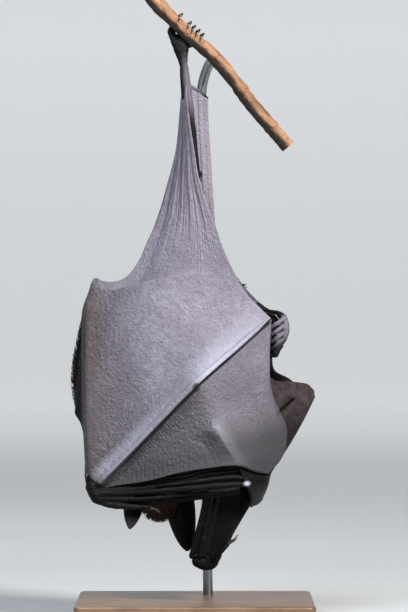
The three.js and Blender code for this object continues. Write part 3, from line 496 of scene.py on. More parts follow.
def wood_material():
    m, nt, b, P = mat_new("base_wood", 0.42, Specular_IOR_Level=0.5, Coat_Weight=0.15, Coat_Roughness=0.3)
    g = N(nt, "ShaderNodeTexWave", wave_type="BANDS", bands_direction="Y", ins={"Vector": P, "Scale": 16.0, "Distortion": 5.0, "Detail": 4.0, "Detail Scale": 1.4}).outputs["Fac"]
    col = n_ramp(nt, g, [(0.0, (0.075, 0.040, 0.022)), (0.55, (0.125, 0.070, 0.038)), (1.0, (0.17, 0.10, 0.058))])
    f = n_noise(nt, P, 320, 4, 0.6, stretch=(0.12, 1, 1))
    col = n_mix(nt, n_range(nt, f, 0.45, 0.7, 0, 0.5), col, (0.05, 0.026, 0.014))
    nt.links.new(col, b.inputs["Base Color"])
    bump(nt, b, [(f, 0.12, 0.0004)])
    return m

def steel_material():
    m, nt, b, P = mat_new("rod_steel", 0.34, Metallic=1.0)
    f = n_noise(nt, P, 900, 3, 0.6, stretch=(1, 1, 0.02))
    nt.links.new(n_ramp(nt, f, [(0.3, (0.20, 0.20, 0.205)), (0.7, (0.34, 0.34, 0.345))]), b.inputs["Base Color"])
    nt.links.new(n_range(nt, f, 0.3, 0.7, 0.26, 0.42), b.inputs["Roughness"])
    bump(nt, b, [(f, 0.06, 0.0002)])
    return m

LINE_A, LINE_B, LINE_C = (-70.8, 110.8), (4.1, 187.7), (62.5, 239)
KNOB = [5.3, -49, 185.9]
KNOB = [k * MM for k in KNOB]
HOLLOW = [k * MM for k in [15.5, -44, 144]]
SLOT_A, SLOT_B = (69.6, 163.6), (83.8, 175.8)
RIDGE_A, RIDGE_B = [(p[0] * MM, p[1] * MM) for p in ((18.3, 158.1), (39.6, 123.4))]
KNUCKLE = [k * MM for k in [45.1, -42, 109.6]]
RIDGE_A3 = [k * MM for k in [21.4, -46, 152.7]]
LINE_A, LINE_B, LINE_C, SLOT_A, SLOT_B = [(p[0] * MM, p[1] * MM) for p in (LINE_A, LINE_B, LINE_C, SLOT_A, SLOT_B)]
WING_DARK = (0.110, 0.094, 0.124)
WING_LIGHT = (0.172, 0.155, 0.195)
WING_SHADE = (0.078, 0.066, 0.082)
M_WING = wing_material("wing_skin", 0.56, 0.14)
M_FLAP = wing_material("wing_skin_far", 0.10, 0.05)
M_BARE = bare_material()
M_FURSKIN = fur_material("fur_skin", 0.75)
M_FUR = fur_material("coat", 0.55)
M_CLAW = claw_material()
M_EYE = eye_material()
M_BARK = bark_material()
M_WOOD = wood_material()
M_STEEL = steel_material()

# ------------------------------------------------------------------ landmarks, as in the CAD (mm)
PERCH_R = 5.6
perchPath = [[-38.4, 3, 507.5], [-28.8, 2, 494.6], [-14.4, 0, 479.2], [-0, 0, 465.6], [19.2, 0, 448.8], [36, 1, 428.9], [50.4, 2, 409.7], [65.7, 3, 392.1], [78.5, 4, 377]]
perchRadii = [5.8, 6.1, 5.5, 5.6, 5.9, 5.4, 5.9, 5.5, 5.9]
foldLeft = [[-6.4, 2, 426.5], [-8, 3, 406.6], [-11.2, 3, 374.5], [-16.8, 4, 350.5], [-24.8, 4, 322.5], [-33.7, 4, 302.5], [-41.7, 4, 284.8], [-49.7, 3, 273.6], [-57.6, 2, 268.8], [-65.6, 1, 268], [-71.1, -2, 266.4]]
foldLeftArm = [[-75, -8, 250.4], [-77.6, -14, 222.5], [-78.2, -20, 190.8], [-77.6, -26, 159.2], [-75.9, -31, 131.6], [-72.6, -36, 110.5]]
rearLeft = [[-3.2, -5, 426.1], [-0.8, -7, 402], [3.2, -10, 374], [7.2, -12, 351.6], [13.6, -14, 331.6], [19.2, -16, 316.4], [25.5, -18, 298.1], [33.5, -20, 279.8], [44.6, -21, 259.9], [54.9, -21, 248.8], [64, -20, 240.1]]
rimLeft = [[-68.6, -36, 106.1], [-55.1, -39, 108.7], [-35.3, -43, 111.6], [-9.3, -46, 118], [15.9, -46, 122], [38, -42, 123.4], [50.7, -34, 118.7], [62, -22, 116.2]]
foldHandLeft = [[64.7, -19, 238.5], [63.8, -14, 222.5], [63.4, -12, 205], [64.2, -11, 187.4], [67.8, -10, 173.9], [72.6, -9, 163.5], [77, -8, 153.1], [76.6, -10, 139.6], [72.5, -15, 127.8], [62, -22, 116.2]]
finger5Left = [[-70.2, -37, 110.5], [-47.2, -42, 133.6], [-19.5, -47, 163.8], [3.3, -49.3, 187.4], [22.2, -44.5, 203.9], [38.8, -39, 218], [52.4, -29, 230.2], [64.1, -19, 239.3]]
foldRight = [[66.5, 4, 217.6], [63.3, 7, 204.7], [61.8, 9, 195], [68.2, 11, 188.6], [78.7, 13, 186.9], [91.6, 15, 184.1]]
forearmRightEdge = [[91.6, 14, 182.9], [85.9, 12, 167.7], [73.7, 7, 144.6], [56.8, -1, 118.4], [41.5, -6, 93.9], [29.5, -9.5, 74.2], [18.4, -12, 56.8]]
rearRight = [[16.7, -28, 213.1], [27.1, -25, 225.8], [39.8, -20, 234.5], [52.6, -12, 237.6], [60.7, -5, 233.6], [66.5, 4, 217.6]]
fifthRight = [[18.4, -12, 56.8], [23.9, -22, 95.5], [31.8, -28, 139.4], [27, -29, 176.7], [16.7, -28, 213.1]]

F5 = Curve(finger5Left).p

def dist_xz(P, line):
    """Distance in the front view from the points to a polyline."""
    q = P[..., [0, 2]]
    best = np.full(q.shape[:-1], 1e9); par = np.zeros(q.shape[:-1])
    L = np.asarray(line)[:, [0, 2]] if np.asarray(line).shape[1] == 3 else np.asarray(line)
    n = len(L) - 1
    for k in range(n):
        a, b = L[k], L[k + 1]
        d = b - a
        t = np.clip(((q - a) @ d) / max(1e-9, d @ d), 0, 1)
        e = np.linalg.norm(q - (a + t[..., None] * d), axis=-1)
        m = e < best
        best = np.where(m, e, best); par = np.where(m, (k + t) / n, par)
    return best, par

def gauss(P, c, r):
    q = P[..., [0, 2]] - np.array(c)
    return np.exp(-(q ** 2).sum(-1) / (r * r))

def smooth01(x, a, b):
    t = np.clip((x - a) / (b - a), 0, 1)
    return t * t * (3 - 2 * t)

def settled(f, swell, nu=48, nv=72, rounds=5000):
    """The depth of a stretched sheet between its fixed edges, with a little fullness towards the front."""
    u, v = np.meshgrid(np.linspace(0, 1, nu + 1), np.linspace(0, 1, nv + 1))
    P = f(u, v)
    q = P[..., [0, 2]]
    hx = np.maximum(0.08, np.linalg.norm(np.diff(q, axis=1), axis=-1))
    hy = np.maximum(0.08, np.linalg.norm(np.diff(q, axis=0), axis=-1))
    ch = 0.5 * (hy[:-1, 1:-1] + hy[1:, 1:-1]); cw = 0.5 * (hx[1:-1, :-1] + hx[1:-1, 1:])
    wE, wW, wS, wN = ch / hx[1:-1, 1:], ch / hx[1:-1, :-1], cw / hy[1:, 1:-1], cw / hy[:-1, 1:-1]
    tot = wE + wW + wS + wN
    y = P[..., 1].copy(); m = np.zeros_like(y)
    for _ in range(rounds):
        for a, load in ((y, 0), (m, cw * ch)):
            a[1:-1, 1:-1] = (wE * a[1:-1, 2:] + wW * a[1:-1, :-2] + wS * a[2:, 1:-1] + wN * a[:-2, 1:-1] + load) / tot
    y = y - swell * m / m.max()
    def g(uu, vv):
        R = f(uu, vv)
        a, b = uu * nu, vv * nv
        i = np.minimum(a.astype(int), nu - 1); j = np.minimum(b.astype(int), nv - 1)
        a, b = a - i, b - j
        R[..., 1] = (y[j, i] * (1 - a) + y[j, i + 1] * a) * (1 - b) + (y[j + 1, i] * (1 - a) + y[j + 1, i + 1] * a) * b
        z = R[..., 1]
        for _ in range(1300):
            z[1:-1, 1:-1] = 0.25 * (z[:-2, 1:-1] + z[2:, 1:-1] + z[1:-1, :-2] + z[1:-1, 2:])
        return R
    return g

def signed_xz(P, line):
    """Signed distance in the front view to a path, with the nearest point's share of the path."""
    q = P[..., [0, 2]]
    L = np.asarray(line)[:, [0, 2]]
    best = np.full(q.shape[:-1], 1e9); par = np.zeros(q.shape[:-1]); sg = np.ones(q.shape[:-1])
    n = len(L) - 1
    for k in range(n):
        a = L[k]; d = L[k + 1] - a
        t = np.clip(((q - a) @ d) / max(1e-9, d @ d), 0, 1)
        r = q - (a + t[..., None] * d)
        e = np.linalg.norm(r, axis=-1)
        c = d[0] * (q[..., 1] - a[1]) - d[1] * (q[..., 0] - a[0])
        m = e < best
        best = np.where(m, e, best); par = np.where(m, (k + t) / n, par); sg = np.where(m, np.sign(c), sg)
    return best * sg, par

def wrap(P, line, radius, outer):
    """Rounds a sheet over the outer side of a bone that runs along its edge."""
    L = Curve(line).at(np.linspace(0, 1, 60))
    d, t = signed_xz(P, L)
    d = d * outer
    yc = np.interp(t, np.linspace(0, 1, 60), L[:, 1])
    R = lookup(radius, t.ravel()).reshape(t.shape)
    k = np.clip(d / R, 0, 0.985)
    P = P.copy()
    P[..., 1] += np.where(d > 0, R * (1 - np.sqrt(1 - k * k)), 0)
    return P

def over(P, line, radius, soft=0.5):
    """Lays a sheet over a long bone in front of it: `line` is the bone's path, `radius` its half thickness with the skin."""
    c = Curve(line)
    L = c.at(np.linspace(0, 1, 60))
    d, t = dist_xz(P, L)
    yc = np.interp(t, np.linspace(0, 1, 60), L[:, 1])
    R = lookup(radius, t.ravel()).reshape(t.shape)
    front = yc - np.sqrt(np.maximum(0, R * R - d * d))
    gap = P[..., 1] - front
    lift = np.where(d < R, soft * np.logaddexp(0, gap / soft), 0)
    P = P.copy()
    P[..., 1] -= lift
    return P

def beside(line, radius, side, back, n=9, t0=0.0, t1=1.0):
    """Points along the outer side of a bone."""
    c = Curve(line)
    t = np.linspace(t0, t1, n)
    p = c.at(t); q = c.at(np.minimum(1, t + 0.01)) - c.at(np.maximum(0, t - 0.01))
    q /= np.linalg.norm(q[:, [0, 2]], axis=1)[:, None]
    r = lookup(radius, t)
    out = p + side * np.stack([q[:, 2] * r, np.zeros(n), -q[:, 0] * r], -1)
    out[:, 1] += back
    return [list(map(float, x)) for x in out]

forearmLeft = [[-76, 0, 265.6], [-79, -7, 250.4], [-80.4, -13, 218.5], [-80.2, -20, 182.8], [-79.2, -26, 147.3], [-76.7, -31, 113.4]]
forearmRight = [[94.8, 16, 179.6], [87.9, 13, 165.2], [75.8, 8, 142.9], [58.8, 0, 116.8], [43.5, -5, 93.1], [31.5, -9, 73.3], [20.8, -11, 55.1]]
F5R = [3.0, 2.7, 2.6, 2.9, 3.6, 2.9, 2.6, 2.7, 2.3, 1.9, 1.6]

# ------------------------------------------------------------------ the wing sheets
ARM_L = [6.4, 6.0, 5.4, 5.0, 4.8, 5.2]
ARM_R = [6.2, 6.0, 5.4, 5.2, 5.0, 5.0, 5.4]
def shape_front(P, u, v):
    P = P.copy()
    d, t = dist_xz(P, F5[::6])
    side = smooth01(u, 0.0, 0.08) * (1 - smooth01(u, 0.94, 1.0))
    # pleats fanning down from the ankle
    top = smooth01(v, 0.0, 0.05) * (1 - smooth01(v, 0.20, 0.46))
    wig = 0.55 * np.cos(2 * math.pi * (4.2 * u + 0.2 * v) + 1.0) + 0.34 * np.cos(2 * math.pi * (9.7 * u + 0.5 * np.sin(3 * v)) + 2.3) + 0.22 * np.cos(2 * math.pi * (18.0 * u + 0.7 * np.sin(5 * v)) + 0.4)
    P[..., 1] -= 1.15 * top * wig * side
    fine = smooth01(v, 0.05, 0.15) * (1 - smooth01(v, 0.40, 0.60))
    P[..., 1] -= 0.10 * fine * np.cos(2 * math.pi * (34 * u + 1.2 * noise(P, 30, 4))) * side
    # one long fold down the neck of the sheet
    P[..., 1] += 1.6 * np.exp(-((u - 0.34 - 0.2 * v) / 0.09) ** 2) * smooth01(v, 0.0, 0.08) * (1 - smooth01(v, 0.22, 0.42))
    # the skin falls back from the fifth finger
    lower = (1 - smooth01(t, 0.36, 0.60)) * smooth01(u, 0.02, 0.20)
    P[..., 1] += 2.4 * smooth01(d / 12.0, 0.0, 1.0) * (1 - smooth01(d, 30.0, 70.0)) * lower
    # slack between the forearm and the belly
    P[..., 1] -= 0.8 * noise(P, 34, 3) * side * smooth01(v, 0.35, 0.6)
    # creased leather, coarser towards the forearm
    rough = 0.35 + 1.0 * (1 - smooth01(u, 0.10, 0.60))
    P[..., 1] -= 0.20 * noise(P, 2.3, 5) * side * smooth01(v, 0.38, 0.6) * rough
    # slack fibres running up towards the fingertip
    k = P[..., 0] * 0.70 - P[..., 2] * 0.71
    P[..., 1] -= 0.13 * np.cos(2 * math.pi * k / 8.6 + 2.4 * noise(P, 26, 8)) * side * smooth01(v, 0.30, 0.45) * (0.3 + 0.7 * smooth01(u, 0.1, 0.35)) * smooth01(d, 10, 26)
    # short gathers where the skin meets the finger
    along = P[..., 0] * 0.71 + P[..., 2] * 0.70
    P[..., 1] -= 0.20 * np.exp(-((d - 6.0) / 5.5) ** 2) * np.cos(2 * math.pi * along / 2.3 + 2.6 * noise(P, 5, 7)) * (1 - smooth01(t, 0.35, 0.6)) * side
    P = wrap(P, forearmLeft, ARM_L, -1)
    P = over(P, finger5Left, F5R, 0.35)
    return P

RIDGE = np.array([(6.5, 183.3), (12.8, 169.9), (17.5, 159.7), (21.6, 151.4), (27, 141.5), (32.5, 132.9), (39.2, 123.4)])
def shape_hand(P, u, v):
    P = P.copy()
    d, t5 = dist_xz(P, F5[::6])
    side = smooth01(u, 0.0, 0.05) * (1 - smooth01(u, 0.97, 1.0)) * (1 - smooth01(v, 0.985, 1.0))
    P[..., 1] += 3.6 * np.exp(-(d / 6.0)) * smooth01(u, 0.04, 0.16) * (1 - smooth01(u, 0.92, 1.0))
    r, t = dist_xz(P, RIDGE)
    # which side of the ridge: positive to the upper right
    seg = RIDGE[-1] - RIDGE[0]
    q = P[..., [0, 2]] - RIDGE[0]
    lr = (q[..., 0] * seg[1] - q[..., 1] * seg[0]) / np.linalg.norm(seg)
    right = smooth01(-lr, -2.0, 2.0)
    A = 1.6 + 5.6 * np.exp(-((t - 0.55) / 0.28) ** 2)
    below = smooth01(t, 0.42, 0.60)
    wide = (20.0 - 6.0 * below) * (1 - right) + 26.0 * right
    tent = np.maximum(0, 1 - np.sqrt(r * r + 0.7) / wide)
    P[..., 1] -= A * tent ** 1.25 * side
    P[..., 1] += 1.1 * gauss(P, (15.1, 145.5), 6.0) * side
    P[..., 1] -= 1.1 * gauss(P, (21.1, 152.6), 2.2) * side
    P[..., 1] += 0.8 * gauss(P, (49.5, 156.9), 1.5)
    P[..., 1] -= 1.6 * np.exp(-(dist_xz(P, np.array([(57, 179.4), (58.5, 155.7), (53.8, 132.1)]))[0] / 12.0) ** 2) * side
    # gathered towards the rim
    rim, _ = dist_xz(P, Curve(rimLeft).p[::6])
    k = np.exp(-((rim - 4) / 8.0) ** 2) * smooth01(P[..., 0], -60, -40) * (1 - smooth01(P[..., 0], 8, 26))
    amp = 0.5 + 0.5 * noise(P * np.array([1, 0, 0.2]), 6, 14)
    P[..., 1] -= 0.42 * k * amp * np.cos(2 * math.pi * P[..., 0] / 3.4 + 3.4 * noise(P * np.array([1, 0, 0.3]), 8, 2)) * side
    P[..., 1] -= 1.3 * np.exp(-(rim / 1.7)) * side
    P[..., 1] -= 0.9 * noise(P, 24, 6) * side
    P[..., 1] -= 0.26 * noise(P, 2.2, 9) * side * (1 - smooth01(P[..., 0], 8, 40)) * smooth01(d, 2, 10)
    along = P[..., 0] * 0.71 + P[..., 2] * 0.70
    P[..., 1] -= 0.22 * np.exp(-((d - 7.0) / 6.0) ** 2) * np.cos(2 * math.pi * along / 2.5 + 2.6 * noise(P, 5, 7)) * (1 - smooth01(t5, 0.5, 0.7)) * side
    return P

def shape_soft(seed, a=0.5, b=0.16):
    def f(P, u, v):
        P = P.copy()
        side = smooth01(u, 0, 0.06) * (1 - smooth01(u, 0.94, 1)) * smooth01(v, 0, 0.04) * (1 - smooth01(v, 0.96, 1))
        P[..., 1] -= (a * noise(P, 16, seed) + b * noise(P, 3.2, seed + 1)) * side
        return P
    return f

def shape_uro(P, u, v):
    P = P.copy()
    side = smooth01(u, 0, 0.1) * (1 - smooth01(u, 0.9, 1))
    P[..., 1] -= 0.30 * np.cos(2 * math.pi * 3.2 * u + 0.8) * side
    P[..., 1] -= 0.14 * np.cos(2 * math.pi * 7.5 * u + 0.8 * noise(P, 20, 3)) * side
    return P

def shape_flap(P, u, v):
    P = P.copy()
    side = smooth01(u, 0, 0.05) * (1 - smooth01(u, 0.95, 1)) * smooth01(v, 0, 0.04) * (1 - smooth01(v, 0.97, 1))
    P = wrap(P, forearmRight, ARM_R, 1)
    d, t = dist_xz(P, np.array([(69.6, 163.6), (74.3, 167.2), (79, 172.3), (83.8, 175.8)]))
    P[..., 1] += 3.0 * np.exp(-(d / 2.3) ** 2) * np.sin(math.pi * np.clip(0.12 + 0.88 * t, 0, 1)) ** 0.5 * side
    P[..., 1] -= 0.9 * np.exp(-((d - 5.0) / 3.0) ** 2) * side
    P[..., 1] -= (0.5 * noise(P, 12, 4) + 0.16 * noise(P, 2.2, 5)) * side
    return P

Q = 1.0
def nq(n): return max(3, int(round(n * Q)))
TH = 0.9

sheets = []
neckLeft = [[-6.4, 2, 426.5], [-8, 3, 406.6], [-11.2, 3, 374.5], [-16.8, 4, 350.5], [-24.8, 4, 322.5], [-33.7, 4, 302.5], [-41.7, 4, 284.8], [-49.7, 3, 274], [-57.6, 1, 269.6], [-65.5, -2, 268.9], [-71.5, -4.6, 270], [-74.6, -5.5, 271.8], [-76.9, -6, 271.5], [-78.7, -6.4, 268.4], [-80.4, -7, 262.4]]
armLeft = beside(forearmLeft, [6.6, 6.2, 5.6, 5.2, 5.0, 5.4], 1, -5.2, 9, 0.14, 0.97)
front = patch([[-6.4, 2, 426.5], [-4.8, -2, 426.7], [-3.2, -5, 426.1]], [armLeft[-1], [-68.6, -38.5, 109], [-46, -44.2, 132.5], [-18.4, -49.2, 162.6], [4.6, -52, 186.1], [23.2, -46.8, 202.8], [39.8, -41.2, 216.9], [53.3, -31, 229.3], [64, -20, 240.1]], neckLeft + armLeft, rearLeft, 0, 0.9)
front = sheet(settled(front, 3.0), nq(180), nq(280), TH, shape_front)
sheets.append(make("s_front", *front, M_WING))
hand = patch([[-68.7, -34, 108.8], [-46.4, -39.2, 132.6], [-18.8, -44, 162.7], [4.3, -45.8, 186.3], [23, -41.6, 203.1], [39.5, -36.2, 217.3], [52.9, -27.2, 229.5], [64.7, -19, 238.5]], rimLeft, [[-68.7, -34, 108.8], [-68.6, -36, 106.1]], foldHandLeft, 0)
hand = sheet(settled(hand, 1.0, 60, 40), nq(190), nq(130), TH, shape_hand)
sheets.append(make("s_hand", *hand, M_WING))
def web_left(u, v):
    a = Curve([[-67.9, -34, 108], [-31.4, -40, 114.6], [6.5, -43, 124.2], [39.6, -39, 127.2]]).at(u)
    b = Curve([[-66.3, -33, 92.2], [-39.4, -37, 92.4], [-6.2, -39, 94.8], [39.7, -36, 101]]).at(u)
    p = a * (1 - v[..., None]) + b * v[..., None]
    w = v + 0.05 * np.sin(u * 7) + 0.03 * np.sin(u * 17 + 1)
    p[..., 1] += 0.8 * np.cos(w * math.pi * 6) + 0.45 * np.cos(w * math.pi * 15 + 1.0) + 0.35 * noise(p * np.array([0.35, 1, 1]), 2.4, 3)
    return p
sheets.append(make("s_web", *sheet(web_left, nq(150), nq(70), TH), M_BARE))
sheets.append(make("s_tip", *sheet(patch(
    [[38, -40, 123.3], [52.4, -30, 116.5], [62.1, -18, 115.2], [65.5, -4, 118.6]],
    [[50.9, -20, 90.7], [54.2, -12, 91.8], [57.5, -4, 94.6], [57.7, 8, 98.8]],
    [[38, -40, 123.3], [45.1, -42, 109.2], [50.9, -20, 90.7]],
    [[65.5, -4, 118.6], [62.4, 2, 108.7], [57.7, 8, 98.8]], 0), nq(40), nq(50), TH, shape_soft(3, 0.6, 0.3)), M_BARE))
sheets.append(make("s_prop", *sheet(patch(
    [[-79.9, -2, 257.6], [-84.9, 2, 234.4], [-87.4, 6, 206.3], [-89.2, 12, 170.9]],
    [[-82.2, -32, 108.7], [-83, -30, 113.4]],
    [[-79.9, -2, 257.6], [-81.3, -9, 218.5], [-81.8, -18, 182.8], [-81.6, -26, 143.3], [-82.2, -32, 108.7]],
    [[-89.2, 12, 170.9], [-92.3, 8, 164.6], [-87.2, 0, 155.2], [-83.6, -14, 138.1], [-83, -30, 113.4]], 0), nq(24), nq(90), TH, shape_soft(11, 0.5, 0.3)), M_FLAP))
sheets.append(make("s_uro", *sheet(patch(
    [[-0.8, 0, 425.6], [8, -1, 421.1], [14.4, -1, 415.5]],
    [[7.2, 10, 292.9], [16.8, 10, 289.7], [26.4, 9, 284.9]],
    [[-3.2, 0, 427.2], [-0.8, 0, 382.4], [1.6, 1, 334.4], [4.8, 10, 292.9]],
    [[14.4, -1, 415.5], [14.8, 0, 398.4], [16.4, 1, 372], [18.8, 3, 333.7], [20.4, 5, 314.5], [26.4, 9, 284.9]], -2), nq(40), nq(110), TH, shape_uro), M_WING))
armRight = beside(forearmRight, [6.4, 6.2, 5.6, 5.4, 5.2, 5.2, 5.6], -1, -5.4, 11, 0.0, 0.95)
flapTop = [[66.5, 4, 217.6], [63.3, 7, 204.7], [61.8, 9, 195], [69, 9.5, 189.4], [78.6, 10, 189.1], [88.3, 10.5, 188.1], [95.5, 10.8, 186.2], armRight[0]]
flapLow = [[13.6, -17, 49.9]] + armRight[::-1]
flapIn = [[16.7, -28, 213.1], [25.5, -30, 176.7], [29.4, -29.5, 139.5], [21.5, -25, 95.7], [13.6, -17, 49.9]]
sheets.append(make("s_rfront", *sheet(settled(patch(rearRight, flapLow, flapIn, flapTop, 0), 1.0, 40, 56), nq(120), nq(160), TH, shape_flap), M_FLAP))
sheets.append(make("s_rweb", *sheet(patch(
    [[-11.8, -24, 224.2], [0.1, -25, 218.7], [12.8, -26, 211.5]],
    [[4, -16, 59.4], [10.4, -15, 56.2], [16, -14, 54.5]],
    [[-11.8, -24, 224.2], [0.1, -28, 181.4], [12.8, -27, 143.4], [10, -21, 95.5], [4, -16, 59.4]],
    [[12.8, -26, 211.5], [23.9, -27, 176.7], [29.4, -25, 139.3], [21.5, -20.5, 95.5], [16, -14, 54.5]], 0), nq(30), nq(90), TH, shape_soft(15, 0.5, 0.2)), M_BARE))
sheets.append(make("s_lflank", *sheet(patch(
    [[-6.4, 3, 425.8], [-4, 4, 425.8], [-2.4, 5, 425.9]],
    [[-85.3, 16, 177.2], [-73, 24, 172], [-58, 28, 166]],
    [[-6.7, 3, 425.8], [-8.3, 4, 405], [-11.6, 4.5, 373.8], [-18.4, 5, 346.6], [-26.1, 5.5, 320.9], [-41.2, 5.5, 284.9], [-50.5, 4.5, 272.8], [-58.5, 4, 267.6], [-71.3, 4, 264.8], [-77.1, 9, 242.4], [-82, 13, 214.2], [-85.3, 16, 177.2]],
    [[-2.4, 5, 425.9], [1.6, 4, 382.6], [4.8, 7, 342.6], [5.6, 15, 314.7], [-1, 26, 290], [-13, 31, 254], [-24, 32, 218], [-44, 30, 186], [-58, 28, 166]], 2), nq(60), nq(140), TH, shape_soft(21, 0.5, 0.12)), M_WING))
sheets.append(make("s_rflank", *sheet(patch(
    [[22, 28, 284], [40, 27, 268], [56, 20, 250], [66, 9, 237]],
    [[10, 34, 146], [30, 34, 146], [54.8, 30, 154.3], [90.1, 20, 182]],
    [[22, 28, 284], [27, 30, 254], [20, 31, 218], [9, 33, 186], [8, 34, 146]],
    [[66, 9, 237], [67, 10, 222], [66, 12, 210], [68, 14, 198], [80, 17, 191], [90.1, 20, 182]], 4), nq(60), nq(80), TH, shape_soft(31, 0.5, 0.12)), M_WING))

# ------------------------------------------------------------------ flesh under the coat
COAT = 2.4
headPath = [[-25, 27, 100], [-24.5, 18, 96], [-24, 6, 94], [-24.5, -8, 99], [-25, -19, 105], [-25.4, -27, 110]]
FURRED = {
    "trunk": dict(path=[[-31, 20, 144], [-29, 21, 160], [-18, 22, 186], [-5, 22, 218], [4, 21, 254], [10, 19, 280], [12, 17, 293]], wide=[30, 37, 34, 31, 29, 21, 13], deep=[18, 22, 23, 23, 22, 17, 11], side=(1, 0, 0), lie=1, tuft=(6.5, 0.62)),
    "neck": dict(path=[[-25, 19, 104], [-27, 20, 118], [-30, 20, 134]], wide=[17, 21, 27], deep=[14.5, 17, 18.5], side=(1, 0, 0), lie=1, tuft=(6.5, 0.6)),
    "head": dict(path=headPath, wide=[9, 16.5, 18, 14, 9.5, 6.5], deep=[9, 16, 19, 14.5, 9.5, 6], side=(1, 0, 0), lie=-1, tuft=(5.2, 0.36)),
    "arm_left": dict(path=[[-66, 20, 158], [-80, 19, 166], [-87, 17, 185.2], [-86, 13, 214.2], [-81.1, 9, 242.4], [-77, 7, 256.8]], wide=[10, 9.5, 8.4, 7, 5.4, 4.8], deep=[11, 10, 8.6, 7.4, 5.6, 4.6], side=(1, 0, 0), lie=1, tuft=(4.5, 0.5)),
    "arm_right": dict(path=[[2, 22, 134], [20, 26, 136], [45.9, 28, 151.9], [68.5, 27, 167.3], [87.8, 22, 178.7]], wide=[10, 10, 8.5, 7, 5], deep=[11, 10, 8.5, 7, 5], side=(0, 0, 1), lie=1, tuft=(4.5, 0.5)),
    "thigh_left": dict(path=[[6, 13, 300], [6.5, 5, 330], [4.6, -0.6, 352]], wide=[9, 7, 4.6], deep=[8, 6.5, 4.6], side=(1, 0, 0), lie=1, tuft=(4.0, 0.45)),
    "thigh_right": dict(path=[[19, 19, 285], [31, 36, 272], [40, 49, 262.5]], wide=[8, 6.5, 5], deep=[8, 6.5, 5], side=(0, 0, 1), lie=1, tuft=(4.0, 0.45)),
}
core = []
for k, d in FURRED.items():
    g = -COAT if k in ("trunk", "neck", "head") else -1.6
    V, F = limb(d["path"], d["wide"], d["deep"], 26, 28, d["side"], g)
    core.append(make("c_" + k, V, F))
# the muzzle gives the head its dog-like profile
core.append(make("c_nose", *limb([[-25.4, -25, 109], [-25.4, -31.5, 112.6]], [5.2, 3.4], [4.4, 3.0], 6, 18)))
body = voxel(core, "body", 1.3, 5, M_FURSKIN)

# ------------------------------------------------------------------ bare limbs
gripAxis = np.array([0.735, 0, -0.678]); gripUp = np.array([0.678, 0, 0.735]); gripAt = np.array([-6.2, 0, 471.4])
TOE_R = 1.7
gripR = PERCH_R + TOE_R + 0.9
def around(s, deg, r):
    w = math.radians(deg)
    return list(gripAt + gripAxis * s - gripUp * math.cos(w) * r + np.array([0, math.sin(w) * r, 0]))
TOE_SPREAD = [-8.4, 1.2, 5.8, 10.4, 15.0]
def toe_grip(s): return [[-6.4 + s * 0.2, 1.5, 449 - s * 0.24], around(s * 0.7, 22, gripR + 1.2), around(s * 0.9, 50, gripR + 0.4), around(s * 0.95, 90, gripR - 0.1), around(s, 130, gripR - 0.2), around(s, 168, gripR - 0.3)]
def claw_grip(s): return [around(s, 160, gripR - 0.3), around(s + 0.3, 182, gripR + 0.2), around(s + 0.8, 208, gripR + 0.2), around(s + 1.5, 232, gripR - 0.4), around(s + 2.4, 254, gripR - 1.0)]
FREE_TOE_Z = [238.4, 232.6, 226.8, 221.0, 215.4]
def toe_free(z, i): return [[72.5 - i * 0.6, 1.5, z + 1.8], [75.4 - i * 0.7, -4.4, z + 2.4], [72.4 - i * 0.5, -9.4, z - 0.8], [69 - i * 0.2, -10.4, z - 3.2], [64.0 + i * 0.1, -9.4, z - 6.6]]
def claw_free(z, i): return [[65.0 + i * 0.1, -8.0, z - 6.2], [61.5 + i * 0.1, -5.6, z - 8.2], [61.6 + i * 0.1, -2.6, z - 8.4]]

def creased(n, depth):
    return lambda X, t: (-depth * np.abs(np.cos(math.pi * n * t)) ** 6)[:, None] * np.ones(X.shape[1])[None] + 0.10 * noise(X, 1.6, 4)
bare = []
def B(name, *a, **k):
    bare.append(make("b_" + name, *limb(*a, **k)))
B("footL", [[-4.4, 0, 438.0], [-6.0, 0.6, 447], [-7.0, 1.4, 455], [-8.0, 2.4, 461]], [3.2, 3.6, 6.0, 7.0], [3.4, 3.6, 4.2, 3.4], 24, 22, warp=creased(5, 0.3))
for i, s in enumerate(TOE_SPREAD):
    B("toeL%d" % i, toe_grip(s), [2.0, 1.9, 1.8, 1.6], [2.0, 1.9, 1.8, 1.5], 26, 14, side=(0.735, 0, -0.678), warp=creased(7, 0.28))
B("webL", toe_grip(-4.4)[:3], [3.4, 3.2, 2.0], [2.2, 2.0, 1.5], 20, 16, side=(0.735, 0, -0.678))
B("shankL", [[4.2, -1, 352], [1.2, 0, 396], [-2.6, 0, 420], [-4.2, 0, 434], [-4.8, 0, 441]], [4.4, 3.6, 3.6, 4.6, 3.6], [4.4, 3.6, 3.4, 4.4, 3.6], 50, 20, warp=creased(4, 0.15))
B("footR", [[63, 9, 242], [68, 6, 237], [70, 4, 230], [69.6, 3, 220], [68, 2, 211]], [3.6, 4.2, 5, 4.6, 3.4], [3.6, 3.6, 4.2, 4, 3], 24, 20, warp=creased(5, 0.3))
for i, z in enumerate(FREE_TOE_Z):
    B("toeR%d" % i, toe_free(z, i), [1.7, 1.85, 1.6, 1.9, 1.4], [2.2, 2.4, 2.1, 2.4, 1.7], 40, 18, side=(0, 0, 1), warp=creased(7, 0.3))
B("instep", [[71.2, 0, 242.8], [74.8, -2, 239.6], [76.2, -3.5, 234.4], [75.8, -3.2, 228], [72.4, -1, 220.8], [65.6, 0, 212.8]], [2.2, 3.0, 3.3, 3.3, 3.0, 2.6], [2.6, 4.6, 5.6, 5.6, 4.8, 3.6], 50, 26, side=(1, 0, 0), warp=lambda X, t: 0.3 * noise(X, 2.2, 12))
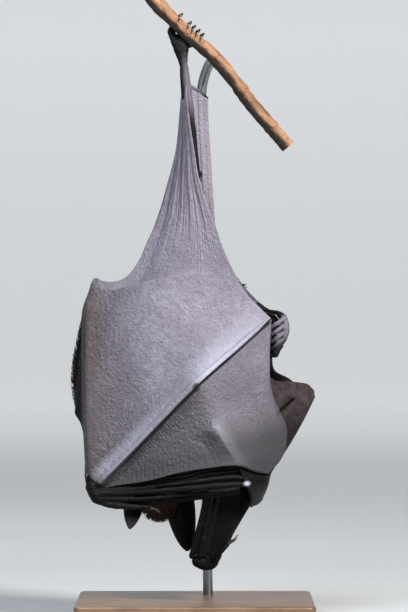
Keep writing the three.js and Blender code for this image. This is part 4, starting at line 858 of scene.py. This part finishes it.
B("heelR", [[57.7, 4, 246.8], [65.6, 1, 245.3], [72, -1, 243.4], [75.2, -2, 240.8]], [1.0, 1.2, 1.7, 2.2], [1.0, 1.2, 1.9, 2.4], 30, 16)
B("shankR", [[40, 48, 262.5], [54, 24, 249.5], [65, 8, 241.5]], [4.6, 3.6, 3.8], [4.6, 3.6, 3.8], 40, 18, side=(0, 0, 1), warp=creased(4, 0.15))
B("forearmL", forearmLeft, [3.6, 4.6, 4.5, 4.1, 3.9, 4.3], [3.4, 4.5, 4.5, 4.1, 3.9, 4.3], 90, 22, warp=lambda X, t: 0.18 * noise(X, 5, 2))
B("elbowL", [[-73.4, 6, 260.8], [-73.3, 4, 264.8]], [3.6, 3.8], [3.6, 3.8], 8, 20)
B("wristL", [[-76.7, -31, 115], [-75.8, -33, 104.8], [-73.4, -34, 97.7]], [5.2, 6.6, 5.0], [4.8, 5.6, 4.6], 20, 24, warp=creased(3, 0.3))
B("thumbL", [[-75, -33, 96.9], [-61.5, -37, 92.4], [-47.2, -39, 91.3], [-32.2, -38, 90.8]], [3.6, 2.8, 2.5, 1.9], [3.6, 2.9, 2.5, 1.9], 40, 16, side=(0, 1, 0), warp=creased(6, 0.25))
B("mc5L", [[-72.6, -36, 108.1], [-47.2, -42, 133.6], [-19.5, -47, 163.8], [1.4, -49.4, 185.9], [5.3, -49.2, 189.4]], [2.8, 2.2, 2.1, 3.0, 2.7], [2.8, 2.4, 2.3, 3.2, 2.8], 110, 16)
B("ph5L", [[3.7, -49.2, 187.8], [22.2, -44.5, 203.9], [38.8, -39, 218], [52.4, -29, 230.2], [64.1, -19, 239.3]], [2.9, 1.9, 2.2, 1.5, 1.0], [2.9, 2.0, 2.2, 1.6, 1.1], 90, 16)
B("f4L", [[-72.6, -35, 104.1], [-31.4, -39.5, 107.1], [6.5, -41.5, 111.1], [38, -39.5, 114.2], [44.4, -40, 112.3]], [2.6, 2.1, 2.1, 2.6, 2.4], [2.8, 2.2, 2.2, 2.8, 2.4], 90, 16, warp=lambda X, t: 0.2 * noise(X, 3, 7))
B("f3L", [[-72.6, -36, 101], [-31.4, -43, 103.3], [6.5, -47, 106.7], [42.7, -44.5, 108.9], [46.8, -34, 104.9], [48.6, -13, 95.9], [49, 15, 89.6], [45.2, 40, 100.4], [37.3, 58, 128.1]], [2.6, 2.3, 2.2, 2.9, 2.0, 1.8, 1.7, 1.5, 1.1], [2.6, 2.3, 2.2, 2.9, 2.0, 1.8, 1.7, 1.5, 1.1], 160, 16, side=(0, 0, 1), warp=lambda X, t: 0.15 * noise(X, 3, 8))
B("f2L", [[-71.8, -36, 97.1], [-39.3, -41.5, 97.3], [-6.1, -43.5, 100.6], [14.4, -43, 102.5]], [2.3, 1.8, 1.7, 1.1], [2.3, 1.8, 1.7, 1.1], 60, 14, side=(0, 0, 1), warp=lambda X, t: 0.15 * noise(X, 3, 9))
B("thumbR", [[15.2, -14, 45.8], [23.1, -21, 53.4], [30.2, -24, 60.7]], [3.4, 2.6, 1.9], [3.4, 2.6, 1.9], 30, 16, warp=creased(5, 0.25))
B("wristR", [[20.8, -11, 55.1], [14.4, -12, 45.6], [6.4, -12, 46.4]], [6.2, 7.2, 5.6], [5.6, 6.2, 5], 24, 24, side=(0, 0, 1), warp=creased(3, 0.3))
B("forearmR", forearmRight, [5.4, 5.4, 4.8, 4.6, 4.4, 4.4, 4.8], [5.2, 5.0, 4.6, 4.4, 4.2, 4.2, 4.6], 90, 22, warp=lambda X, t: 0.18 * noise(X, 5, 2))
B("f5R", [[12, -16, 51.5], [21.5, -24, 95.6], [29.4, -29, 139.5], [23.9, -31, 176.8], [12.8, -30, 212.4]], [2.8, 2.3, 2.8, 2.1, 1.2], [2.8, 2.3, 2.8, 2.1, 1.2], 80, 14)
B("f4R", [[8, -17, 51.5], [16.7, -27, 95.8], [23.1, -33, 143.6], [12.8, -35, 179.2], [1.7, -31, 218.7]], [2.6, 2.1, 2.6, 1.9, 1.2], [2.6, 2.1, 2.6, 1.9, 1.2], 80, 14)
B("f3R", [[1.7, -16, 50.7], [12, -27, 95.8], [15.2, -33, 143.6], [0.1, -34, 181.6], [-11, -28, 226.6]], [2.6, 2.1, 2.6, 1.9, 1.2], [2.6, 2.1, 2.6, 1.9, 1.2], 80, 14)
B("calcar", [[-2.4, 0, 426.4], [5.6, -0.6, 422.4], [14.1, -1, 415.9]], [2.0, 1.3, 0.9], [2.0, 1.3, 0.9], 20, 12)
bare = [voxel(bare, "bare", 0.62, 3, M_BARE)]

# ears: cupped leaves
def ear(root, tip, width, lean, point):
    root = np.array(root, float); tip = np.array(tip, float); lean = np.array(lean, float)
    def f(u, v):
        p = root + (tip - root) * v[..., None]
        w = width * (0.85 + 0.45 * v) * np.maximum(0.015, 1 - v) ** point
        a = (u - 0.5) * 2
        p = p + lean * (a * w)[..., None]
        p[..., 1] += a * a * w * 0.5 - 0.25 * np.cos(a * 9) * (1 - v)
        return p
    return f
ears = [make("e_l", *sheet(ear([-45, 3, 91], [-48.2, -6, 71.4], 9.6, [0.97, 0, -0.2], 0.72), nq(36), nq(44), 1.3), M_BARE),
        make("e_r", *sheet(ear([-9, 3, 94], [-1.8, -7, 54], 14.5, [0.96, 0, 0.16], 0.62), nq(36), nq(50), 1.3), M_BARE)]

# ------------------------------------------------------------------ one skin
parts = bare + sheets + ears
skin = body
for o in parts:
    m = skin.modifiers.new("u", "BOOLEAN")
    m.operation = "UNION"; m.solver = "MANIFOLD"; m.object = o
    if hasattr(m, "material_mode"): m.material_mode = "TRANSFER"
before = sum(len(o.data.polygons) for o in parts) + len(body.data.polygons)
baked(skin, "bat_skin")
print("skin union:", before, "->", len(skin.data.polygons), [m.name for m in skin.data.materials])
for o in parts:
    d = o.data
    bpy.data.objects.remove(o); bpy.data.meshes.remove(d)
skin.data.shade_smooth()
def creases(o, deg):
    bm = bmesh.new(); bm.from_mesh(o.data)
    bmesh.ops.dissolve_degenerate(bm, dist=1e-6, edges=bm.edges)
    lim = math.radians(deg)
    for e in bm.edges:
        if len(e.link_faces) == 2 and e.calc_face_angle(0) > lim:
            e.smooth = False
    bm.to_mesh(o.data); bm.free()
creases(skin, 62)

# ------------------------------------------------------------------ coat
tree = BVHTree.FromObject(skin, bpy.context.evaluated_depsgraph_get())
def coat(name, keys, density, seed):
    rs = np.random.RandomState(seed)
    VV, FF, UV = [], [], []
    base = 0
    for slot_i, k in enumerate(keys):
        d = FURRED[k]
        g = -COAT if k in ("trunk", "neck", "head") else -1.6
        X, Nn, p, tan, t = limb_grid(d["path"], d["wide"], d["deep"], 60, 48, d["side"], g)
        R, S = X.shape[:2]
        c = Curve(d["path"])
        circ = np.linalg.norm(np.roll(X, -1, 1) - X, axis=-1).sum(1).mean()
        n = int(density * circ * c.length)
        ii = rs.uniform(0, R - 1.001, n); kk = rs.uniform(0, S, n)
        i0 = ii.astype(int); k0 = kk.astype(int) % S; fi = (ii - i0)[:, None]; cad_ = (kk - np.floor(kk))[:, None]
        k1 = (k0 + 1) % S
        P0 = (X[i0, k0] * (1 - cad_) + X[i0, k1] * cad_) * (1 - fi) + (X[i0 + 1, k0] * (1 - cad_) + X[i0 + 1, k1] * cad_) * fi
        nn = Nn[i0, k0] * (1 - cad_) + Nn[i0, k1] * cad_
        nn /= np.linalg.norm(nn, axis=1)[:, None]
        tg = tan[i0] * d["lie"]
        L0, W0 = d["tuft"]
        for q in range(n):
            hit = tree.find_nearest(Vector(P0[q] * MM), 0.006)
            if hit[0] is None: continue
            nv = np.array(hit[1]); rp = np.array(hit[0]) / MM
            if nv @ nn[q] < 0.35: continue
            far = tree.ray_cast(Vector((rp + nv * 0.4) * MM), Vector(nv), 0.0055)
            if far[0] is not None: continue
            l = tg[q] - (tg[q] @ nv) * nv
            l /= max(1e-6, np.linalg.norm(l))
            far = tree.ray_cast(Vector((rp + nv * 0.5) * MM), Vector(l * 0.9 + nv * 0.4), 0.006)
            if far[0] is not None: continue
            s = np.cross(nv, l)
            l = l + s * rs.normal(0, 0.22)
            L = L0 * rs.uniform(0.7, 1.15); W = W0 * rs.uniform(0.7, 1.25)
            mid = rp + nv * (0.30 * L) + l * (0.42 * L)
            tip = rp + nv * min(COAT + 0.6, 0.42 * L) + l * (0.95 * L) + s * rs.normal(0, 0.35)
            r0 = rp - nv * 0.5
            VV += [r0 + s * W, r0 - s * W, r0 + nv * W * 0.4 + l * W, mid + s * W * 0.8, mid - s * W * 0.8, mid + nv * W * 0.7, tip]
            FF += [(base, base + 1, base + 4, base + 3), (base + 1, base + 2, base + 5, base + 4), (base + 2, base, base + 3, base + 5), (base + 3, base + 4, base + 6), (base + 4, base + 5, base + 6), (base + 5, base + 3, base + 6), (base, base + 2, base + 1)]
            cu = (slot_i + 0.05 + 0.9 * (kk[q] / S)) / len(keys); cv = 0.03 + 0.94 * (ii[q] / (R - 1))
            UV.append((cu, cv))
            base += 7
    o = make(name, np.array(VV), FF, M_FUR, True)
    me = o.data
    uv = me.uv_layers.new(name="OFBake")
    off = np.array([(-1, -1), (1, -1), (0, -0.4), (-0.8, 0), (0.8, 0), (0, 0.4), (0, 1)]) * 0.0015
    vi = np.empty(len(me.loops), np.int32); me.loops.foreach_get("vertex_index", vi)
    UVa = np.array(UV)
    co = UVa[vi // 7] + off[vi % 7]
    uv.data.foreach_set("uv", co.astype(np.float32).ravel())
    print(name, len(UV), "tufts", sum(len(p.vertices) - 2 for p in me.polygons), "tris")
    return o
dens = 0.62
coats = [coat("coat_trunk", ["trunk"], dens, 1), coat("coat_head", ["neck", "head"], dens * 1.6, 2), coat("coat_limbs", ["arm_left", "arm_right", "thigh_left", "thigh_right"], dens * 1.3, 3)]

# ------------------------------------------------------------------ claws, eyes, perch, stand
cl = []
def claw_warp(X, t): return np.zeros(X.shape[:2])
for i, s in enumerate(TOE_SPREAD):
    cl.append(make("k", *limb(claw_grip(s), [1.2, 1.1, 0.8, 0.35], [1.35, 1.2, 0.9, 0.35], 24, 14, side=(0.735, 0, -0.678))))
for i, z in enumerate(FREE_TOE_Z):
    cl.append(make("k", *limb(claw_free(z, i), [1.1, 0.9, 0.4], [1.2, 1.0, 0.4], 20, 14, side=(0, 0, 1))))
cl.append(make("k", *limb([[-33.8, -38, 90.8], [-31.5, -37, 90.4], [-26.8, -35, 89.1], [-23.6, -33, 85.8]], [1.4, 1.4, 1.0, 0.35], [1.5, 1.5, 1.1, 0.35], 24, 14, side=(0, 1, 0))))
cl.append(make("k", *limb([[28.7, -24, 59.1], [31, -24, 61.5], [35, -25, 64], [38.2, -24, 68.3]], [1.4, 1.4, 1.1, 0.35], [1.4, 1.4, 1.1, 0.35], 24, 14)))
claws = merged(cl, "claws"); claws.data.materials.append(M_CLAW)

def eyeball(c, look, r):
    V, F = [], []
    bm = bmesh.new()
    bmesh.ops.create_uvsphere(bm, u_segments=40, v_segments=24, radius=r)
    look = np.array(look) / np.linalg.norm(look)
    for v in bm.verts:
        n = np.array(v.co) / r
        k = max(0.0, float(n @ look))
        v.co = Vector(np.array(v.co) * (1 + 0.10 * smooth01(k, 0.72, 0.95)) + np.array(c))
    V = np.array([list(v.co) for v in bm.verts]); bm.verts.index_update()
    F = [tuple(v.index for v in f.verts) for f in bm.faces]
    bm.free()
    return make("y", V, F)
eyes = merged([eyeball([-37.2, -7.6, 98.6], [-0.85, -0.5, 0.1], 4.3), eyeball([-11.6, -7.6, 98.6], [0.85, -0.5, 0.1], 4.3)], "eyes")
eyes.data.materials.append(M_EYE)

def bark_warp(X, t):
    k = 0.45 * noise(X, 9, 1) + 0.28 * noise(X, 3.5, 2) + 0.14 * noise(X, 1.4, 3)
    for c, w, a in ((0.14, 0.018, 0.7), (0.41, 0.014, 0.6), (0.66, 0.02, 0.8), (0.88, 0.014, 0.6)):
        k = k + (a * np.exp(-((t - c) / w) ** 2))[:, None]
    return k - 0.15
perch = make("branch", *limb(perchPath, perchRadii, perchRadii, nq(300), 56, flat=True, warp=bark_warp), M_BARK)
creases(perch, 50)
rod = make("display_rod", *limb([[14.5, 62, 13.2], [12.5, 62, 140], [9.5, 62, 300], [8, 62, 400], [10, 57, 430], [15, 40, 445], [19, 22, 448.6], [21, 3, 448.8]], 4.0, 4.0, 130, 32, flat=True), M_STEEL)
creases(rod, 50)
def rounded_base():
    lo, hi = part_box("stand_base")
    lo = np.array(lo) / MM; hi = np.array(hi) / MM
    r = 6.0; e = 1.8
    prof = [(e, 0.0)] + [(e - e * math.sin(a), e - e * math.cos(a)) for a in np.linspace(0, math.pi / 2, 7)[1:]]
    H = hi[2] - lo[2]
    prof += [(e - e * math.cos(a), H - e + e * math.sin(a)) for a in np.linspace(0, math.pi / 2, 7)]
    ring = []
    for cx, cy, a0 in ((hi[0] - r, hi[1] - r, 0), (lo[0] + r, hi[1] - r, 90), (lo[0] + r, lo[1] + r, 180), (hi[0] - r, lo[1] + r, 270)):
        for a in np.linspace(0, 90, 9):
            w = math.radians(a0 + a)
            ring.append((cx, cy, math.cos(w), math.sin(w)))
    V = []
    for inset, z in prof:
        for cx, cy, c, s in ring:
            V.append((cx + c * (r - inset), cy + s * (r - inset), lo[2] + z))
    S = len(ring); R = len(prof)
    F = [(i * S + k, i * S + (k + 1) % S, (i + 1) * S + (k + 1) % S, (i + 1) * S + k) for i in range(R - 1) for k in range(S)]
    F.append(tuple(range(S - 1, -1, -1)))
    F.append(tuple((R - 1) * S + k for k in range(S)))
    return make("display_base", V, F, M_WOOD)
base = rounded_base()
creases(base, 40)

# ------------------------------------------------------------------ who stands for what
nodes = list(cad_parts.keys())
claw_nodes = [n for n in nodes if n.startswith("claw_")]
eye_nodes = [n for n in nodes if n.startswith("eye_")]
flesh = [n for n in nodes if n not in claw_nodes + eye_nodes + ["perch", "stand_rod", "stand_base"]]
for o in [skin, claws, eyes, perch, rod, base] + coats:
    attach(o, "root")
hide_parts(*flesh)
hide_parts(*claw_nodes)
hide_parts(*eye_nodes)
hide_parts("perch")
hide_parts("stand_rod")
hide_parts("stand_base")

# ------------------------------------------------------------------ stage, light, camera
def stage_sweep():
    pts = [(y, 0.0) for y in np.linspace(-7.0, 6.8, 40)]
    for a in np.linspace(0, math.pi / 2, 14)[1:]:
        pts.append((6.8 + 1.0 * math.sin(a), 1.0 - 1.0 * math.cos(a)))
    pts.append((7.8, 4.4))
    V, F = [], []
    for y, z in pts:
        for x in (-5.5, 5.5): V.append((x, y, z))
    for i in range(len(pts) - 1): F.append((2 * i, 2 * i + 1, 2 * i + 3, 2 * i + 2))
    me = bpy.data.meshes.new("studio_floor"); me.from_pydata(V, [], F); me.shade_smooth()
    o = bpy.data.objects.new("studio_floor", me); bpy.context.scene.collection.objects.link(o)
    m, nt, b, P = mat_new("floor_paper", 0.9)
    xyz = N(nt, "ShaderNodeSeparateXYZ", ins={"Vector": P}).outputs
    near = n_ramp(nt, n_noise(nt, P, 3, 2), [(0.2, (0.38, 0.386, 0.382)), (0.8, (0.41, 0.416, 0.412))])
    # the paper is lighter further back, and the far backdrop glows as painted light, stronger with distance
    nt.links.new(n_mix(nt, n_range(nt, xyz["Y"], 0.6, 3.6), near, (0.78, 0.79, 0.80)), b.inputs["Base Color"])
    b.inputs["Emission Color"].default_value = (0.92, 0.945, 0.96, 1)
    nt.links.new(n_range(nt, xyz["Y"], 0.3, 4.6, 0.0, 0.41), b.inputs["Emission Strength"])
    me.materials.append(m)
stage_sweep()

def area(name, loc, target, size, power, col=(1, 1, 1)):
    l = bpy.data.lights.new(name, "AREA"); l.shape = "RECTANGLE"; l.size, l.size_y = size; l.energy = power; l.color = col
    o = bpy.data.objects.new(name, l); bpy.context.scene.collection.objects.link(o)
    o.location = loc
    o.rotation_euler = (Vector(target) - Vector(loc)).to_track_quat("-Z", "Y").to_euler()
area("key", (1.15, -1.25, 1.50), (0.0, 0.0, 0.25), (0.55, 0.55), 91, (1.0, 0.985, 0.97))
area("sky", (-0.65, -1.35, 1.90), (0.0, 0.0, 0.28), (0.9, 0.7), 50, (0.82, 0.89, 1.0))
area("fill", (-1.5, -1.7, 0.5), (0.0, 0.0, 0.2), (1.0, 1.0), 1.2, (0.97, 0.98, 1.0))
area("back", (-0.75, 0.85, 1.35), (0.0, 0.0, 0.25), (0.8, 0.8), 10, (0.95, 0.97, 1.0))
w = bpy.data.worlds.new("studio"); bpy.context.scene.world = w; w.use_nodes = True
w.node_tree.nodes["Background"].inputs[0].default_value = (0.86, 0.89, 0.93, 1)
w.node_tree.nodes["Background"].inputs[1].default_value = 0.10
bpy.context.scene.view_settings.view_transform = "Standard"

cam = bpy.data.cameras.new("camera"); co = bpy.data.objects.new("camera", cam)
bpy.context.scene.collection.objects.link(co)
co.location = (0.0112, -3.0, 0.2496)
co.rotation_euler = (math.radians(90), 0, 0)
cam.sensor_fit = "AUTO"; cam.sensor_width = 36.0; cam.lens = 36.0 * 3000 / 489.6
cam.clip_start = 0.05; cam.clip_end = 50
bpy.context.scene.camera = co
